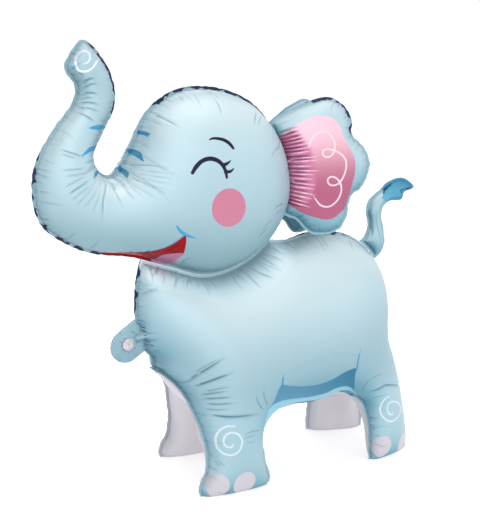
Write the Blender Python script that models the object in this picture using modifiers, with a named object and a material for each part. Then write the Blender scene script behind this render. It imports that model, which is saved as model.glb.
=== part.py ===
"""Elephant foil balloon, standing on four feet with its trunk raised.

The real thing is made of flat foil sheets that are sealed together along their outlines and then filled.
Each balloon here is made the same way: a flat outline in the XZ plane is filled with triangles, and each
point of the sheet rises by the square root of the solution of Poisson's equation on that outline, which is
how such a pillow bulges. The body's side sheet is sealed below to a gusset that hangs between the legs, so
the four legs are pouches.

The elephant faces -X and its left side faces -Y. Metres, +Z up, standing on z = 0.
"""

import bmesh
import bpy
import numpy as np
from mathutils import Matrix, Vector
from mathutils.geometry import delaunay_2d_cdt

# Whole figure: free-form outlines are drawn in millimetres at this height and scaled with it
HEIGHT = 0.704
DRAWN_HEIGHT = 704.0
SCALE = HEIGHT / DRAWN_HEIGHT

# Seams, gaps and the filling tab, real sizes
SEAM_WIDTH = 0.005
SEAM_THICKNESS = 0.002
GAP = 0.0003
TAB_WIDTH = 0.054
TAB_REACH = 0.030
TAB_ANGLE = 207.0  # degrees from +X in the XZ plane
TAB_MARGIN = 0.004
CHANNEL_WIDTH = 0.014
HOLE_DIAMETER = 0.020
FILM_THICKNESS = 0.0012

# Stance, real sizes
FOOT_SPREAD = 0.094
FOOT_TURN = 0.31
GUSSET_HEIGHT = 0.190
HEEL_START = 100  # drawn millimetres along the body, where the rear feet begin to turn in
LEG_TOP = 150  # drawn millimetres above the floor, where the legs start to bulge less
RIGHT_FRONT_STEP = 20  # drawn millimetres that the right feet stand behind or before the left ones
RIGHT_REAR_STEP = -10
STEP_FADE = 60
BELLY_FROM = 85  # drawn millimetres above the floor, where the gusset's legs turn into its belly
BELLY_OVER = 45

# How far each sheet bulges, as a share of the free pillow's own rise
HEAD_BULGE = 0.62
BODY_BULGE = 0.56
LEG_BULGE = 0.50
BELLY_BULGE = 0.16
EAR_BULGE = 0.38
TAIL_BULGE = 0.60

# Ears: the upright line that each ear's plane turns about, drawn (x, y), and its angle from the middle plane
EAR_ROOT = (-40, 11)
EAR_ANGLE = 18.0
RIGHT_EAR_SHIFT = (6, -8)  # drawn (x, z): stuck on by hand, it sits a little further back and lower

# Triangle sizes: inside each sheet, then along its outline
BODY_STEP = 0.024
HEAD_STEP = 0.024
EAR_STEP = 0.020
TAIL_STEP = 0.014
LEG_EDGE = 0.7 * BODY_STEP
BACK_EDGE = 0.8 * BODY_STEP
CHEST_FOOT_EDGE = 0.5 * BODY_STEP
TAB_EDGE = 0.4 * BODY_STEP
HEAD_EDGE = 0.58 * HEAD_STEP
EAR_EDGE = 0.8 * EAR_STEP
TAIL_EDGE = 0.8 * TAIL_STEP
ROUND_SIDES = 24

# Rings of points beside each seam: depths inside it, least space between points, and how near counts as on it
EDGE_RINGS = (0.0, 0.004, 0.011)
RING_SPACING = 0.0035
RING_TRIM = 0.93
ON_SEAM = 1.01

# The lattice inside the rings, as shares of the sheet's step
ROW_HEIGHT = 0.866
LATTICE_CLEAR = 0.35
LATTICE_SPACING = 0.6
MARKED_SPACING = 0.2

# The inflated channel that runs into the tab, measured outwards from the tab's root
CHANNEL_POINTS_FROM = -0.012
CHANNEL_FROM = -0.020
CHANNEL_POINT_STEP = 0.005
CHANNEL_END_CLEAR = 0.003
CHANNEL_OPEN_SHARE = 0.4

# Numerical limits
CURVE_STEP = 0.05
FLOOR_DISTANCE = 1e-6
MERGE_DISTANCE = 2e-5
TINY_AREA = 1e-12

HEAD_OUTLINE = [
    (-374, 691), (-357, 706), (-333, 688), (-310, 648), (-308, 606), (-332, 560), (-343, 534), (-334, 510),
    (-312, 507), (-286, 545), (-258, 596), (-214, 626), (-163, 633), (-110, 623), (-62, 597), (-21, 544),
    (-4, 482), (-8, 434), (-42, 379), (-95, 344), (-159, 333), (-224, 353), (-284, 373), (-345, 384),
    (-385, 400), (-427, 431), (-442, 473), (-437, 527), (-405, 579), (-379, 610), (-371, 637), (-387, 665),
]
NECK_FRONT = (-270, 369)
NECK_BACK = (-42, 380)
CHEST = [(-277, 345), (-282, 305), (-281, 275)]
TAB_ROOT = (-266, 248)
CHEST_FOOT = [(-266, 220), (-257, 211), (-253, 200), (-254, 190)]
LEGS = [
    [(-254, 190), (-241, 179), (-226, 157), (-212, 112), (-204, 75), (-205, 45), (-214, 26), (-219, 10),
     (-213, -8)],
    [(-213, -8), (-200, -10), (-104, -10), (-92, -6)],
    [(-92, -6), (-89, 8), (-95, 32), (-99, 60), (-99, 82), (-94, 99), (-76, 113), (-40, 117), (5, 115),
     (52, 123), (80, 113), (99, 96), (106, 70), (107, 40), (106, 12), (109, -7)],
    [(109, -7), (120, -10), (196, -10), (206, -6)],
    [(206, -6), (208, 14), (201, 60), (194, 103), (190, 140), (188, 165), (188, 190)],
]
BACK = [
    (188, 190), (195, 225), (196, 262), (187, 302), (168, 335), (145, 357), (118, 373), (84, 382), (33, 384),
    (-8, 376),
]
TAIL_TOP = (142, 358)
TAIL_FOOT = (175, 324)
TAIL = [
    (152, 366), (159, 380), (159, 394), (155, 412), (161, 428), (174, 440), (188, 449), (200, 458), (216, 463),
    (236, 462), (257, 445), (238, 438), (231, 426), (219, 424), (204, 424), (192, 415), (189, 401), (193, 378),
    (197, 356), (192, 340), (181, 328),
]
EAR_OUTLINE = [
    (0, 574), (36, 595), (60, 604), (87, 611), (108, 606), (126, 590), (135, 568), (135, 550), (157, 526),
    (166, 500), (155, 465), (135, 448), (127, 412), (115, 393), (97, 386), (66, 388), (40, 412), (20, 424),
    (18, 470), (14, 520), (2, 556),
]

LIGHT_BLUE = (0.40, 0.62, 0.70, 1.0)
PEARL = (0.72, 0.68, 0.72, 1.0)
PINK = (0.80, 0.36, 0.52, 1.0)
TUFT_BLUE = (0.05, 0.32, 0.60, 1.0)
FOIL_ROUGHNESS = 0.3
FOIL_METALLIC = 0.35


def millimetres(points):
    """Drawn points as metres at the figure's real height."""
    return np.array(points, float) * SCALE


def stretch(points, step, closed=False):
    """A smooth line through the points, resampled evenly; a closed one doesn't repeat its first point."""
    if closed:
        ends = np.vstack([points[-1:], points, points[:2]])
    else:
        ends = np.vstack([2 * points[0] - points[1], points, 2 * points[-1] - points[-2]])
    dense = []
    for before, start, end, after in zip(ends, ends[1:], ends[2:], ends[3:]):
        for t in np.arange(0.0, 1.0, CURVE_STEP):
            bend = 2 * before - 5 * start + 4 * end - after
            turn = 3 * start - before - 3 * end + after
            dense.append(0.5 * (2 * start + (end - before) * t + bend * t**2 + turn * t**3))
    dense = np.array(dense + [ends[-2]])
    run = np.concatenate([[0.0], np.cumsum(np.linalg.norm(np.diff(dense, axis=0), axis=1))])
    places = np.linspace(0.0, run[-1], max(2, round(run[-1] / step)) + 1)
    even = np.stack([np.interp(places, run, dense[:, axis]) for axis in (0, 1)], axis=1)
    return even[:-1] if closed else even


def anticlockwise(outline):
    x, z = outline.T
    area = np.sum(x * np.roll(z, -1) - np.roll(x, -1) * z)
    return outline if area > 0 else outline[::-1]


def outward(outline):
    """Unit normals of a counter-clockwise outline, pointing out."""
    along = np.roll(outline, -1, axis=0) - np.roll(outline, 1, axis=0)
    normal = np.stack([along[:, 1], -along[:, 0]], axis=1)
    return normal / np.linalg.norm(normal, axis=1, keepdims=True)


def edge_distance(points, outline, closed=True):
    """How far each point lies from the outline."""
    start = outline if closed else outline[:-1]
    along = np.roll(outline, -1, axis=0)[: len(start)] - start
    offset = points[:, None, :] - start[None]
    share = np.clip((offset * along).sum(-1) / (along * along).sum(-1), 0, 1)
    return np.linalg.norm(offset - share[..., None] * along, axis=-1).min(axis=1)


def inside(points, outline):
    """Which points lie inside the closed outline."""
    x, z = points[:, 0:1], points[:, 1:2]
    x0, z0 = outline.T
    x1, z1 = np.roll(outline, -1, axis=0).T
    crosses = (z0 > z) != (z1 > z)
    at = x0 + (z - z0) * (x1 - x0) / np.where(z1 == z0, 1.0, z1 - z0)
    return (crosses & (x < at)).sum(axis=1) % 2 == 1


def spaced(points, taken, distance):
    """The points that keep this distance from those taken and from each other."""
    kept = list(taken)
    fresh = []
    for point in points:
        if np.min(np.linalg.norm(np.array(kept) - point, axis=1)) > distance:
            kept.append(point)
            fresh.append(point)
    return fresh


def fill(outline, step, seam=None, special=()):
    """Triangles inside an outline, with rings along its seam: (points, triangles), the outline's points first."""
    seam = outline if seam is None else seam
    points = list(outline)
    points += spaced(special, points, MARKED_SPACING * step)
    for ring in EDGE_RINGS:
        depth = SEAM_WIDTH + ring
        moved = seam - depth * outward(seam)
        moved = moved[inside(moved, seam)]
        moved = moved[edge_distance(moved, seam) > RING_TRIM * depth]
        points += spaced(moved, points, RING_SPACING)
    low, high = outline.min(axis=0), outline.max(axis=0)
    rows = np.arange(low[1], high[1], step * ROW_HEIGHT)
    lattice = np.array([(x + (row % 2) * step / 2, z) for row, z in enumerate(rows)
                        for x in np.arange(low[0], high[0], step)])
    lattice = lattice[inside(lattice, outline)]
    rings_end = SEAM_WIDTH + EDGE_RINGS[-1] + LATTICE_CLEAR * step
    lattice = lattice[edge_distance(lattice, outline) > rings_end]
    points += spaced(lattice, points, LATTICE_SPACING * step)
    ring = [list(range(len(outline)))]
    found = delaunay_2d_cdt([Vector(p) for p in points], [], ring, 1, 1e-7)
    source = [origin[0] if origin else None for origin in found[3]]
    triangles = np.array([[source[corner] for corner in face] for face in found[2]])
    return np.array(points), triangles


def spread(points, triangles, held, value, source=0.0):
    """Solves Laplace's or Poisson's equation on the sheet, held at some points and free at any other edge."""
    count = len(points)
    stiffness = np.zeros((count, count))
    load = np.zeros(count)
    for turn in range(3):
        a, b, c = (triangles[:, (turn + k) % 3] for k in range(3))
        to_a, to_b = points[a] - points[c], points[b] - points[c]
        cross = np.abs(to_a[:, 0] * to_b[:, 1] - to_a[:, 1] * to_b[:, 0])
        weight = 0.5 * (to_a * to_b).sum(axis=1) / np.maximum(cross, TINY_AREA)
        for p, q in ((a, b), (b, a)):
            np.add.at(stiffness, (p, q), -weight)
            np.add.at(stiffness, (p, p), weight)
        np.add.at(load, c, cross / 6)
    result = np.array(value, float) * held
    free = ~held
    right = source * load[free] - stiffness[np.ix_(free, held)] @ result[held]
    result[free] = np.linalg.solve(stiffness[np.ix_(free, free)], right)
    return result


def puff(points, triangles, sealed):
    """How high an unstretched pillow sealed at these points rises, before its bulge share."""
    height = spread(points, triangles, sealed, np.zeros(len(points)), source=4.0)
    return np.sqrt(np.maximum(height, 0.0))


def finish(name, mesh, colour, pieces):
    """Puts a mesh in the scene as a named piece with its own satin foil material."""
    material = bpy.data.materials.new(name + "_foil")
    material.use_nodes = True
    shader = material.node_tree.nodes["Principled BSDF"]
    shader.inputs["Base Color"].default_value = colour
    shader.inputs["Roughness"].default_value = FOIL_ROUGHNESS
    shader.inputs["Metallic"].default_value = FOIL_METALLIC
    mesh.materials.append(material)
    piece = bpy.data.objects.new(name, mesh)
    pieces.objects.link(piece)
    return piece


def half_shell(name, points, faces):
    """A mesh of one half, open at the middle plane, with doubled points merged and stray faces dropped."""
    mesh = bpy.data.meshes.new(name)
    shape = bmesh.new()
    corners = [shape.verts.new(point) for point in points]
    for face in faces:
        if any(abs(points[corner][1]) > 1e-9 for corner in face):
            shape.faces.new([corners[corner] for corner in face])
    loose = [corner for corner in shape.verts if not corner.link_faces]
    bmesh.ops.delete(shape, geom=loose, context="VERTS")
    shape.to_mesh(mesh)
    shape.free()
    return mesh


def mirrored(piece):
    """The other half of a piece, across its own middle plane."""
    mirror = piece.modifiers.new("Other half", "MIRROR")
    mirror.use_axis = (False, True, False)
    mirror.use_mirror_merge = True
    mirror.merge_threshold = MERGE_DISTANCE
    return piece


def pillow(name, outline, step, bulge, colour, pieces):
    """A two-sheet balloon: one sheet, its seam rim and the rim's edge, mirrored."""
    flat, triangles = fill(outline, step)
    sealed = edge_distance(flat, outline) < ON_SEAM * SEAM_WIDTH
    rise = SEAM_THICKNESS / 2 + bulge * puff(flat, triangles, sealed)
    points = [(x, -y, z) for (x, z), y in zip(flat, rise)]
    points += [(x, 0.0, z) for x, z in outline]
    count, first = len(outline), len(flat)
    faces = [tuple(face) for face in triangles]
    faces += [(i, first + i, first + (i + 1) % count, (i + 1) % count) for i in range(count)]
    return mirrored(finish(name, half_shell(name, points, faces), colour, pieces))


def beside(outline, start, end):
    """A neighbour's outline from its point nearest start to the one nearest end, moved off by the gap."""
    first, last = (int(np.argmin(np.linalg.norm(outline - p, axis=1))) for p in (start, end))
    count = len(outline)
    ahead = (last - first) % count
    steps = range(ahead + 1) if ahead <= count / 2 else range(0, -(count - ahead) - 1, -1)
    moved = outline + GAP * outward(outline)
    return np.array([moved[(first + k) % count] for k in steps])


def joined(stretches):
    """One closed counter-clockwise outline from stretches that meet end to end."""
    return anticlockwise(np.vstack([part[:-1] for part in stretches]))


def tab_outline(step):
    """The filling tab: a straight-sided tongue with a round end about the filling hole."""
    angle = np.radians(TAB_ANGLE)
    along = np.array([np.cos(angle), np.sin(angle)])
    across = np.array([-along[1], along[0]])
    root = millimetres(TAB_ROOT)
    hole = root + TAB_REACH * along
    turns = np.linspace(-90, 90, max(6, round(np.pi * TAB_WIDTH / 2 / step)) + 1)
    end = hole + TAB_MARGIN * along
    arc = [end + TAB_WIDTH / 2 * (np.cos(turn) * along + np.sin(turn) * across) for turn in np.radians(turns)]
    return root, hole, along, np.array(arc)


def lower_side(x, z):
    """How far the lower seam stands off the middle plane: nothing at the gusset's top, most at the feet."""
    reach = FOOT_SPREAD - FOOT_TURN * np.maximum(0.0, x - millimetres(HEEL_START))
    return reach * np.sqrt(np.clip(1.0 - (np.maximum(z, 0.0) / GUSSET_HEIGHT) ** 2, 0.0, 1.0))


def body_outlines(head_edge):
    """The body's outline with the tab, without it, the count of points on the lower seam, and the tab's place."""
    neck = beside(head_edge, millimetres(NECK_BACK), millimetres(NECK_FRONT))
    legs = [stretch(millimetres(points), LEG_EDGE) for points in LEGS]
    back = stretch(np.vstack([millimetres(BACK), neck[:1]]), BACK_EDGE)
    chest = stretch(np.vstack([neck[-1:], millimetres(CHEST)]), BACK_EDGE)
    foot = stretch(millimetres(CHEST_FOOT), CHEST_FOOT_EDGE)
    root, hole, along, arc = tab_outline(TAB_EDGE)
    tongue = np.vstack([chest[-1:], arc, foot[:1]])
    lower = np.vstack([part[:-1] for part in legs] + [legs[-1][-1:]])
    with_tab = np.vstack([lower[:-1], back[:-1], neck[:-1], chest[:-1], tongue[:-1], foot[:-1]])
    without_tab = np.vstack([lower[:-1], back[:-1], neck[:-1], chest, foot[:-1]])
    return with_tab, without_tab, len(lower), (root, hole, along)


def corner_normals(points, triangles):
    """Unit normals at the points of a triangle mesh, weighted by area."""
    a, b, c = (points[triangles[:, k]] for k in range(3))
    across = np.cross(b - a, c - a)
    normals = np.zeros_like(points)
    for k in range(3):
        np.add.at(normals, triangles[:, k], across)
    return normals / np.linalg.norm(normals, axis=1, keepdims=True)


def side_sheet(outline, no_tab, tab):
    """The printed side sheet: points on the left side and triangles, the outline's points first."""
    root, hole, along = tab
    across = np.array([-along[1], along[0]])
    channel_end = TAB_REACH - HOLE_DIAMETER / 2 - SEAM_WIDTH / 2
    ways = np.arange(CHANNEL_POINTS_FROM, channel_end, CHANNEL_POINT_STEP)
    special = [root + way * along + side * across for way in ways
               for side in (-CHANNEL_WIDTH / 2, 0.0, CHANNEL_WIDTH / 2)]
    flat, triangles = fill(outline, BODY_STEP, no_tab, special)
    offset = flat - root
    way, side = offset @ along, np.abs(offset @ across)
    in_channel = (way > CHANNEL_FROM) & (way < channel_end - CHANNEL_END_CLEAR)
    in_channel &= side < CHANNEL_OPEN_SHARE * CHANNEL_WIDTH
    sealed = (~inside(flat, no_tab) | (edge_distance(flat, no_tab) < ON_SEAM * SEAM_WIDTH)) & ~in_channel
    seam_side = lower_side(*flat.T)
    middle = spread(flat, triangles, sealed, seam_side)
    low = np.clip(1.0 - flat[:, 1] / millimetres(LEG_TOP), 0.0, 1.0)
    bulge = BODY_BULGE + (LEG_BULGE - BODY_BULGE) * low
    rise = middle + SEAM_THICKNESS / 2 + bulge * puff(flat, triangles, sealed)
    return np.stack([flat[:, 0], -rise, flat[:, 1]], axis=1), triangles


def gusset_sheet(lower):
    """The white sheet between the legs, left half: points and triangles, the lower seam's points first."""
    fold = stretch(np.array([lower[-1], lower[0]]), BODY_STEP)[1:-1]
    outline = np.vstack([lower, fold])
    flat, triangles = fill(outline, BODY_STEP)
    on_fold = np.zeros(len(flat), bool)
    on_fold[[0, *range(len(lower) - 1, len(outline))]] = True
    sealed = edge_distance(flat, lower, closed=False) < ON_SEAM * SEAM_WIDTH
    inner_side = np.maximum(lower_side(*flat.T) - SEAM_THICKNESS / 2, 0.0)
    inner_side[on_fold] = 0.0
    side = spread(flat, triangles, sealed | on_fold, inner_side)
    x = spread(flat, triangles, sealed, flat[:, 0])
    z = spread(flat, triangles, sealed, flat[:, 1])
    points = np.stack([x, -side, z], axis=1)
    normals = corner_normals(points, triangles)
    normals *= np.sign(normals[:, 1].sum())
    high = ease((z - millimetres(BELLY_FROM)) / millimetres(BELLY_OVER))
    bulge = LEG_BULGE + (BELLY_BULGE - LEG_BULGE) * high
    points += normals * (bulge * puff(flat, triangles, sealed))[:, None]
    points[on_fold, 1] = 0.0
    return points, triangles[:, ::-1]


def body_balloon(head_edge, pieces, cutters):
    """The body: side sheet, gusset, rim and tab on the left, mirrored, with flat soles and the filling hole."""
    outline, no_tab, lower_count, tab = body_outlines(head_edge)
    outer, outer_triangles = side_sheet(outline, no_tab, tab)
    inner, inner_triangles = gusset_sheet(outline[:lower_count])
    count, first = len(outline), len(outer)
    rim_top = [(x, 0.0, z) for x, z in outline[lower_count:]]
    points = [*outer, *inner, *rim_top]
    facing = list(range(first, first + lower_count)) + list(range(first + len(inner), len(points)))
    faces = [tuple(face) for face in outer_triangles]
    faces += [tuple(first + face) for face in inner_triangles]
    faces += [(i, facing[i], facing[(i + 1) % count], (i + 1) % count) for i in range(count)]
    body = finish("body_balloon", half_shell("body_balloon", points, faces), LIGHT_BLUE, pieces)
    flatten_soles(body.data)
    mirrored(body)
    make_real(body)
    step_right_legs(body.data)
    hole = tab[1]
    plug = round_plug("filling_hole", hole, HOLE_DIAMETER / 2, TAB_WIDTH)
    cutter = bpy.data.objects.new("filling_hole", plug)
    cutters.objects.link(cutter)
    drill(body, cutter)
    return body, hole


def make_real(piece):
    """Replaces a piece's mesh by its evaluated one and clears its modifiers."""
    graph = bpy.context.evaluated_depsgraph_get()
    piece.data = bpy.data.meshes.new_from_object(piece.evaluated_get(graph))
    piece.modifiers.clear()


def ease(share):
    """A smooth step from 0 to 1."""
    share = np.clip(share, 0.0, 1.0)
    return share * share * (3.0 - 2.0 * share)


def step_right_legs(mesh):
    """The right legs stand closer together than the left ones, as a soft figure does after it is set down."""
    points = np.empty(3 * len(mesh.vertices))
    mesh.vertices.foreach_get("co", points)
    x, y, z = points.reshape(-1, 3).T
    front, rear, fade = millimetres([RIGHT_FRONT_STEP, RIGHT_REAR_STEP, STEP_FADE])
    along = ease((x + FOOT_SPREAD) / (2 * FOOT_SPREAD))
    share = ease(y / (FOOT_SPREAD / 2)) * ease((GUSSET_HEIGHT - z) / fade)
    x += (front + (rear - front) * along) * share
    mesh.vertices.foreach_set("co", np.stack([x, y, z], axis=1).ravel())
    mesh.update()


def flatten_soles(mesh):
    """Cuts the feet off flat at the floor and closes them."""
    shape = bmesh.new()
    shape.from_mesh(mesh)
    everything = [*shape.verts, *shape.edges, *shape.faces]
    bmesh.ops.bisect_plane(shape, geom=everything, dist=1e-7, plane_co=(0, 0, 0), plane_no=(0, 0, -1),
                           clear_outer=True)
    open_edges = [edge for edge in shape.edges if edge.is_boundary]
    cut = [edge for edge in open_edges if all(abs(corner.co.z) < FLOOR_DISTANCE for corner in edge.verts)]
    for edge in cut:
        for corner in edge.verts:
            corner.co.z = 0.0
    bmesh.ops.triangle_fill(shape, edges=cut, normal=(0, 0, -1))
    shape.to_mesh(mesh)
    shape.free()


def round_plug(name, centre, radius, thickness):
    """The mesh of a short round plug across the middle plane, centred on a point of the XZ plane."""
    mesh = bpy.data.meshes.new(name)
    shape = bmesh.new()
    bmesh.ops.create_cone(shape, cap_ends=True, segments=ROUND_SIDES, radius1=radius, radius2=radius,
                          depth=thickness)
    bmesh.ops.rotate(shape, verts=shape.verts, cent=(0, 0, 0), matrix=Matrix.Rotation(np.pi / 2, 3, "X"))
    bmesh.ops.translate(shape, verts=shape.verts, vec=(centre[0], 0.0, centre[1]))
    shape.to_mesh(mesh)
    shape.free()
    return mesh


def drill(piece, cutter):
    """Takes the cutter's shape out of the piece."""
    cutter.hide_render = True
    cutter.display_type = "WIRE"
    cut = piece.modifiers.new("Cut by " + cutter.name, "BOOLEAN")
    cut.operation = "DIFFERENCE"
    cut.object = cutter


def head_room(head, cutters):
    """The head's own shape grown by the gap, which the ears are cut by."""
    room = bpy.data.objects.new("head_room", head.data)
    cutters.objects.link(room)
    mirrored(room)
    grow = room.modifiers.new("Gap", "DISPLACE")
    grow.strength = GAP
    grow.mid_level = 0.0
    return room


def ear(name, side, room, pieces):
    """One ear pillow, turned about its upright root line and cut to fit against the head."""
    outline = anticlockwise(stretch(millimetres(EAR_OUTLINE), EAR_EDGE, closed=True))
    piece = pillow(name, outline, EAR_STEP, EAR_BULGE, PINK, pieces)
    x, y = millimetres(EAR_ROOT)
    back, up = millimetres(RIGHT_EAR_SHIFT) * (side > 0)
    piece.location = (x + back, side * y, up)
    piece.rotation_euler = (0.0, 0.0, np.radians(side * EAR_ANGLE))
    drill(piece, room)
    return piece


def tail_balloon(body_edge, pieces):
    """The tail and its tuft; its root lies along the body's seam rim."""
    root = beside(body_edge, millimetres(TAIL_FOOT), millimetres(TAIL_TOP))
    free = stretch(np.vstack([root[-1:], millimetres(TAIL), root[:1]]), TAIL_EDGE)
    outline = joined([root, free])
    return pillow("tail_balloon", outline, TAIL_STEP, TAIL_BULGE, TUFT_BLUE, pieces)


def centre(collection):
    """Moves the figure so that the origin lies under the middle of its box."""
    bpy.context.view_layer.update()
    graph = bpy.context.evaluated_depsgraph_get()
    reach = []
    for piece in collection.objects:
        shape = piece.evaluated_get(graph)
        reach += [(piece.matrix_world @ Vector(corner)).x for corner in shape.bound_box]
    middle = (min(reach) + max(reach)) / 2
    for piece in bpy.data.objects:
        piece.location.x -= middle


def main():
    for old in list(bpy.data.objects):
        bpy.data.objects.remove(old)
    pieces = bpy.data.collections.new("Elephant balloon")
    cutters = bpy.data.collections.new("Cutters")
    for collection in (pieces, cutters):
        bpy.context.scene.collection.children.link(collection)
    head_edge = anticlockwise(stretch(millimetres(HEAD_OUTLINE), HEAD_EDGE, closed=True))
    head = pillow("head_balloon", head_edge, HEAD_STEP, HEAD_BULGE, LIGHT_BLUE, pieces)
    body, hole = body_balloon(head_edge, pieces, cutters)
    room = head_room(head, cutters)
    ear("ear_left", -1, room, pieces)
    ear("ear_right", 1, room, pieces)
    tail_balloon(body_outlines(head_edge)[1], pieces)
    film = round_plug("valve_film", hole, HOLE_DIAMETER / 2 - GAP, FILM_THICKNESS)
    finish("valve_film", film, PEARL, pieces)
    centre(pieces)


main()
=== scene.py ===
import bmesh
import bpy
import numpy as np
from mathutils import Matrix, Vector
from mathutils.bvhtree import BVHTree
from mathutils.geometry import delaunay_2d_cdt


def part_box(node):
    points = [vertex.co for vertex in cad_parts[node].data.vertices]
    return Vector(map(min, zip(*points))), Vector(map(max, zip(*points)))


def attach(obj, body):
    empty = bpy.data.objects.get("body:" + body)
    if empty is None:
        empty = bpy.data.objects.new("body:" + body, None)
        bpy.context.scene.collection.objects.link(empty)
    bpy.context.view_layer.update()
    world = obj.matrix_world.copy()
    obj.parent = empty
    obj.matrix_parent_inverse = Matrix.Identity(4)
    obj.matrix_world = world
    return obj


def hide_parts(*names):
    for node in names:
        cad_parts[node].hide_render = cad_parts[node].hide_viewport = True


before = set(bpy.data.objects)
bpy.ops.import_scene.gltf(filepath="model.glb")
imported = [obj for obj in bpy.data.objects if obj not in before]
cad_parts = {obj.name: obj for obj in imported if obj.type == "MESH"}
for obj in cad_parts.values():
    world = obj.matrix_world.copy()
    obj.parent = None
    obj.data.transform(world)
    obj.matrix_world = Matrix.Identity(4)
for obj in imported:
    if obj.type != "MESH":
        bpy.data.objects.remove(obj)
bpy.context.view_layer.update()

# Elephant foil balloon: printed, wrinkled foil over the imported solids. Every balloon is remade from the flat
# outline that its solid was made from, with fine triangles, so that seams, creases and print have room.
# Outlines are (x, z) in millimetres as in the part's source, print and creases are drawn in photograph
# pixels, and other sizes are in metres.

scale = 0.001
seamWidth = 0.005
sealedWidth = 1.01 * seamWidth
seamThickness = 0.0009
gap = 0.0003  # between balloons that touch
tab = {"root": (-266, 248), "angle": 207.0, "reach": 0.030, "width": 0.054, "margin": 0.004,
       "channel": 0.014, "hole": 0.010, "holePoints": 40}

headOutline = [
    (-374, 691), (-357, 706), (-333, 688), (-310, 648), (-308, 606), (-332, 560), (-343, 534), (-334, 510),
    (-312, 507), (-286, 545), (-258, 596), (-214, 626), (-163, 633), (-110, 623), (-62, 597), (-21, 544),
    (-4, 482), (-8, 434), (-42, 379), (-95, 344), (-159, 333), (-224, 353), (-284, 373), (-345, 384),
    (-385, 400), (-427, 431), (-442, 473), (-437, 527), (-405, 579), (-379, 610), (-371, 637), (-387, 665),
]
neckFront = (-270, 369)
neckBack = (-42, 380)
chest = [(-277, 345), (-282, 305), (-281, 275)]
chestFoot = [(-266, 220), (-257, 211), (-253, 200), (-254, 190)]
legs = [
    [(-254, 190), (-241, 179), (-226, 157), (-212, 112), (-204, 75), (-205, 45), (-214, 26), (-219, 10),
     (-213, -8)],
    [(-213, -8), (-200, -10), (-104, -10), (-92, -6)],
    [(-92, -6), (-89, 8), (-95, 32), (-99, 60), (-99, 82), (-94, 99), (-76, 113), (-40, 117), (5, 115),
     (52, 123), (80, 113), (99, 96), (106, 70), (107, 40), (106, 12), (109, -7)],
    [(109, -7), (120, -10), (196, -10), (206, -6)],
    [(206, -6), (208, 14), (201, 60), (194, 103), (190, 140), (188, 165), (188, 190)],
]
back = [
    (188, 190), (195, 225), (196, 262), (187, 302), (168, 335), (145, 357), (118, 373), (84, 382), (33, 384),
    (-8, 376),
]
tailTop = (142, 358)
tailFoot = (175, 324)
tailOutline = [
    (152, 366), (159, 380), (159, 394), (155, 412), (161, 428), (174, 440), (188, 449), (200, 458),
    (216, 463), (236, 462), (257, 445), (238, 438), (231, 426), (219, 424), (204, 424), (192, 415),
    (189, 401), (193, 378), (197, 356), (192, 340), (181, 328),
]
earOutline = [
    (0, 574), (36, 595), (60, 604), (87, 611), (108, 606), (126, 590), (135, 568), (135, 550), (157, 526),
    (166, 500), (155, 465), (135, 448), (127, 412), (115, 393), (97, 386), (66, 388), (40, 412), (20, 424),
    (18, 470), (14, 520), (2, 556),
]


# Flat outlines

areaStep = 0.0018


def stretch(points, step, closed=False):
    # a smooth curve through the points, cut into even steps
    points = np.asarray(points, float)
    if closed:
        ends = np.vstack([points[-1:], points, points[:2]])
    else:
        ends = np.vstack([2 * points[0] - points[1], points, 2 * points[-1] - points[-2]])
    dense = []
    for before, start, end, after in zip(ends, ends[1:], ends[2:], ends[3:]):
        for t in np.arange(0.0, 1.0, 0.05):
            bend = 2 * before - 5 * start + 4 * end - after
            turn = 3 * start - before - 3 * end + after
            dense.append(0.5 * (2 * start + (end - before) * t + bend * t**2 + turn * t**3))
    dense = np.array(dense + [ends[-2]])
    run = np.concatenate([[0.0], np.cumsum(np.linalg.norm(np.diff(dense, axis=0), axis=1))])
    places = np.linspace(0.0, run[-1], max(2, round(run[-1] / step)) + 1)
    even = np.stack([np.interp(places, run, dense[:, axis]) for axis in range(dense.shape[1])], axis=1)
    return even[:-1] if closed else even


def anticlockwise(outline):
    x, z = outline.T
    return outline if np.sum(x * np.roll(z, -1) - np.roll(x, -1) * z) > 0 else outline[::-1]


def loop(points, step=areaStep):
    return anticlockwise(stretch(points, step, closed=True))


def outward(outline):
    along = np.roll(outline, -1, axis=0) - np.roll(outline, 1, axis=0)
    normal = np.stack([along[:, 1], -along[:, 0]], axis=1)
    return normal / np.linalg.norm(normal, axis=1, keepdims=True)


def across(line):
    along = np.gradient(line, axis=0)
    normal = np.stack([-along[:, 1], along[:, 0]], axis=1)
    return normal / np.maximum(np.linalg.norm(normal, axis=1, keepdims=True), 1e-12)


def nearest(points, line, closed=True):
    # distance to the line, and where along it the nearest place is, in points
    start = line if closed else line[:-1]
    along = np.roll(line, -1, axis=0)[: len(start)] - start
    square = np.maximum((along * along).sum(-1), 1e-18)
    distance, place = np.empty(len(points)), np.empty(len(points))
    for first in range(0, len(points), 2000):
        offset = points[first : first + 2000, None, :] - start[None]
        share = np.clip((offset * along).sum(-1) / square, 0, 1)
        offset -= share[..., None] * along
        away = (offset * offset).sum(-1)
        best = away.argmin(axis=1)
        rows = np.arange(len(best))
        distance[first : first + 2000] = np.sqrt(away[rows, best])
        place[first : first + 2000] = best + share[rows, best]
    return distance, place


def inside(points, outline):
    x0, z0 = outline.T
    x1, z1 = np.roll(outline, -1, axis=0).T
    slope = (x1 - x0) / np.where(z1 == z0, 1.0, z1 - z0)
    result = np.empty(len(points), bool)
    for first in range(0, len(points), 4000):
        x, z = points[first : first + 4000, 0:1], points[first : first + 4000, 1:2]
        crosses = ((z0 > z) != (z1 > z)) & (x < x0 + (z - z0) * slope)
        result[first : first + 4000] = crosses.sum(axis=1) % 2 == 1
    return result


def within(points, outline, depth):
    # those of the points that lie inside the outline, further than this depth from it
    points = points[inside(points, outline)]
    return points[nearest(points, outline)[0] > depth]


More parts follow.
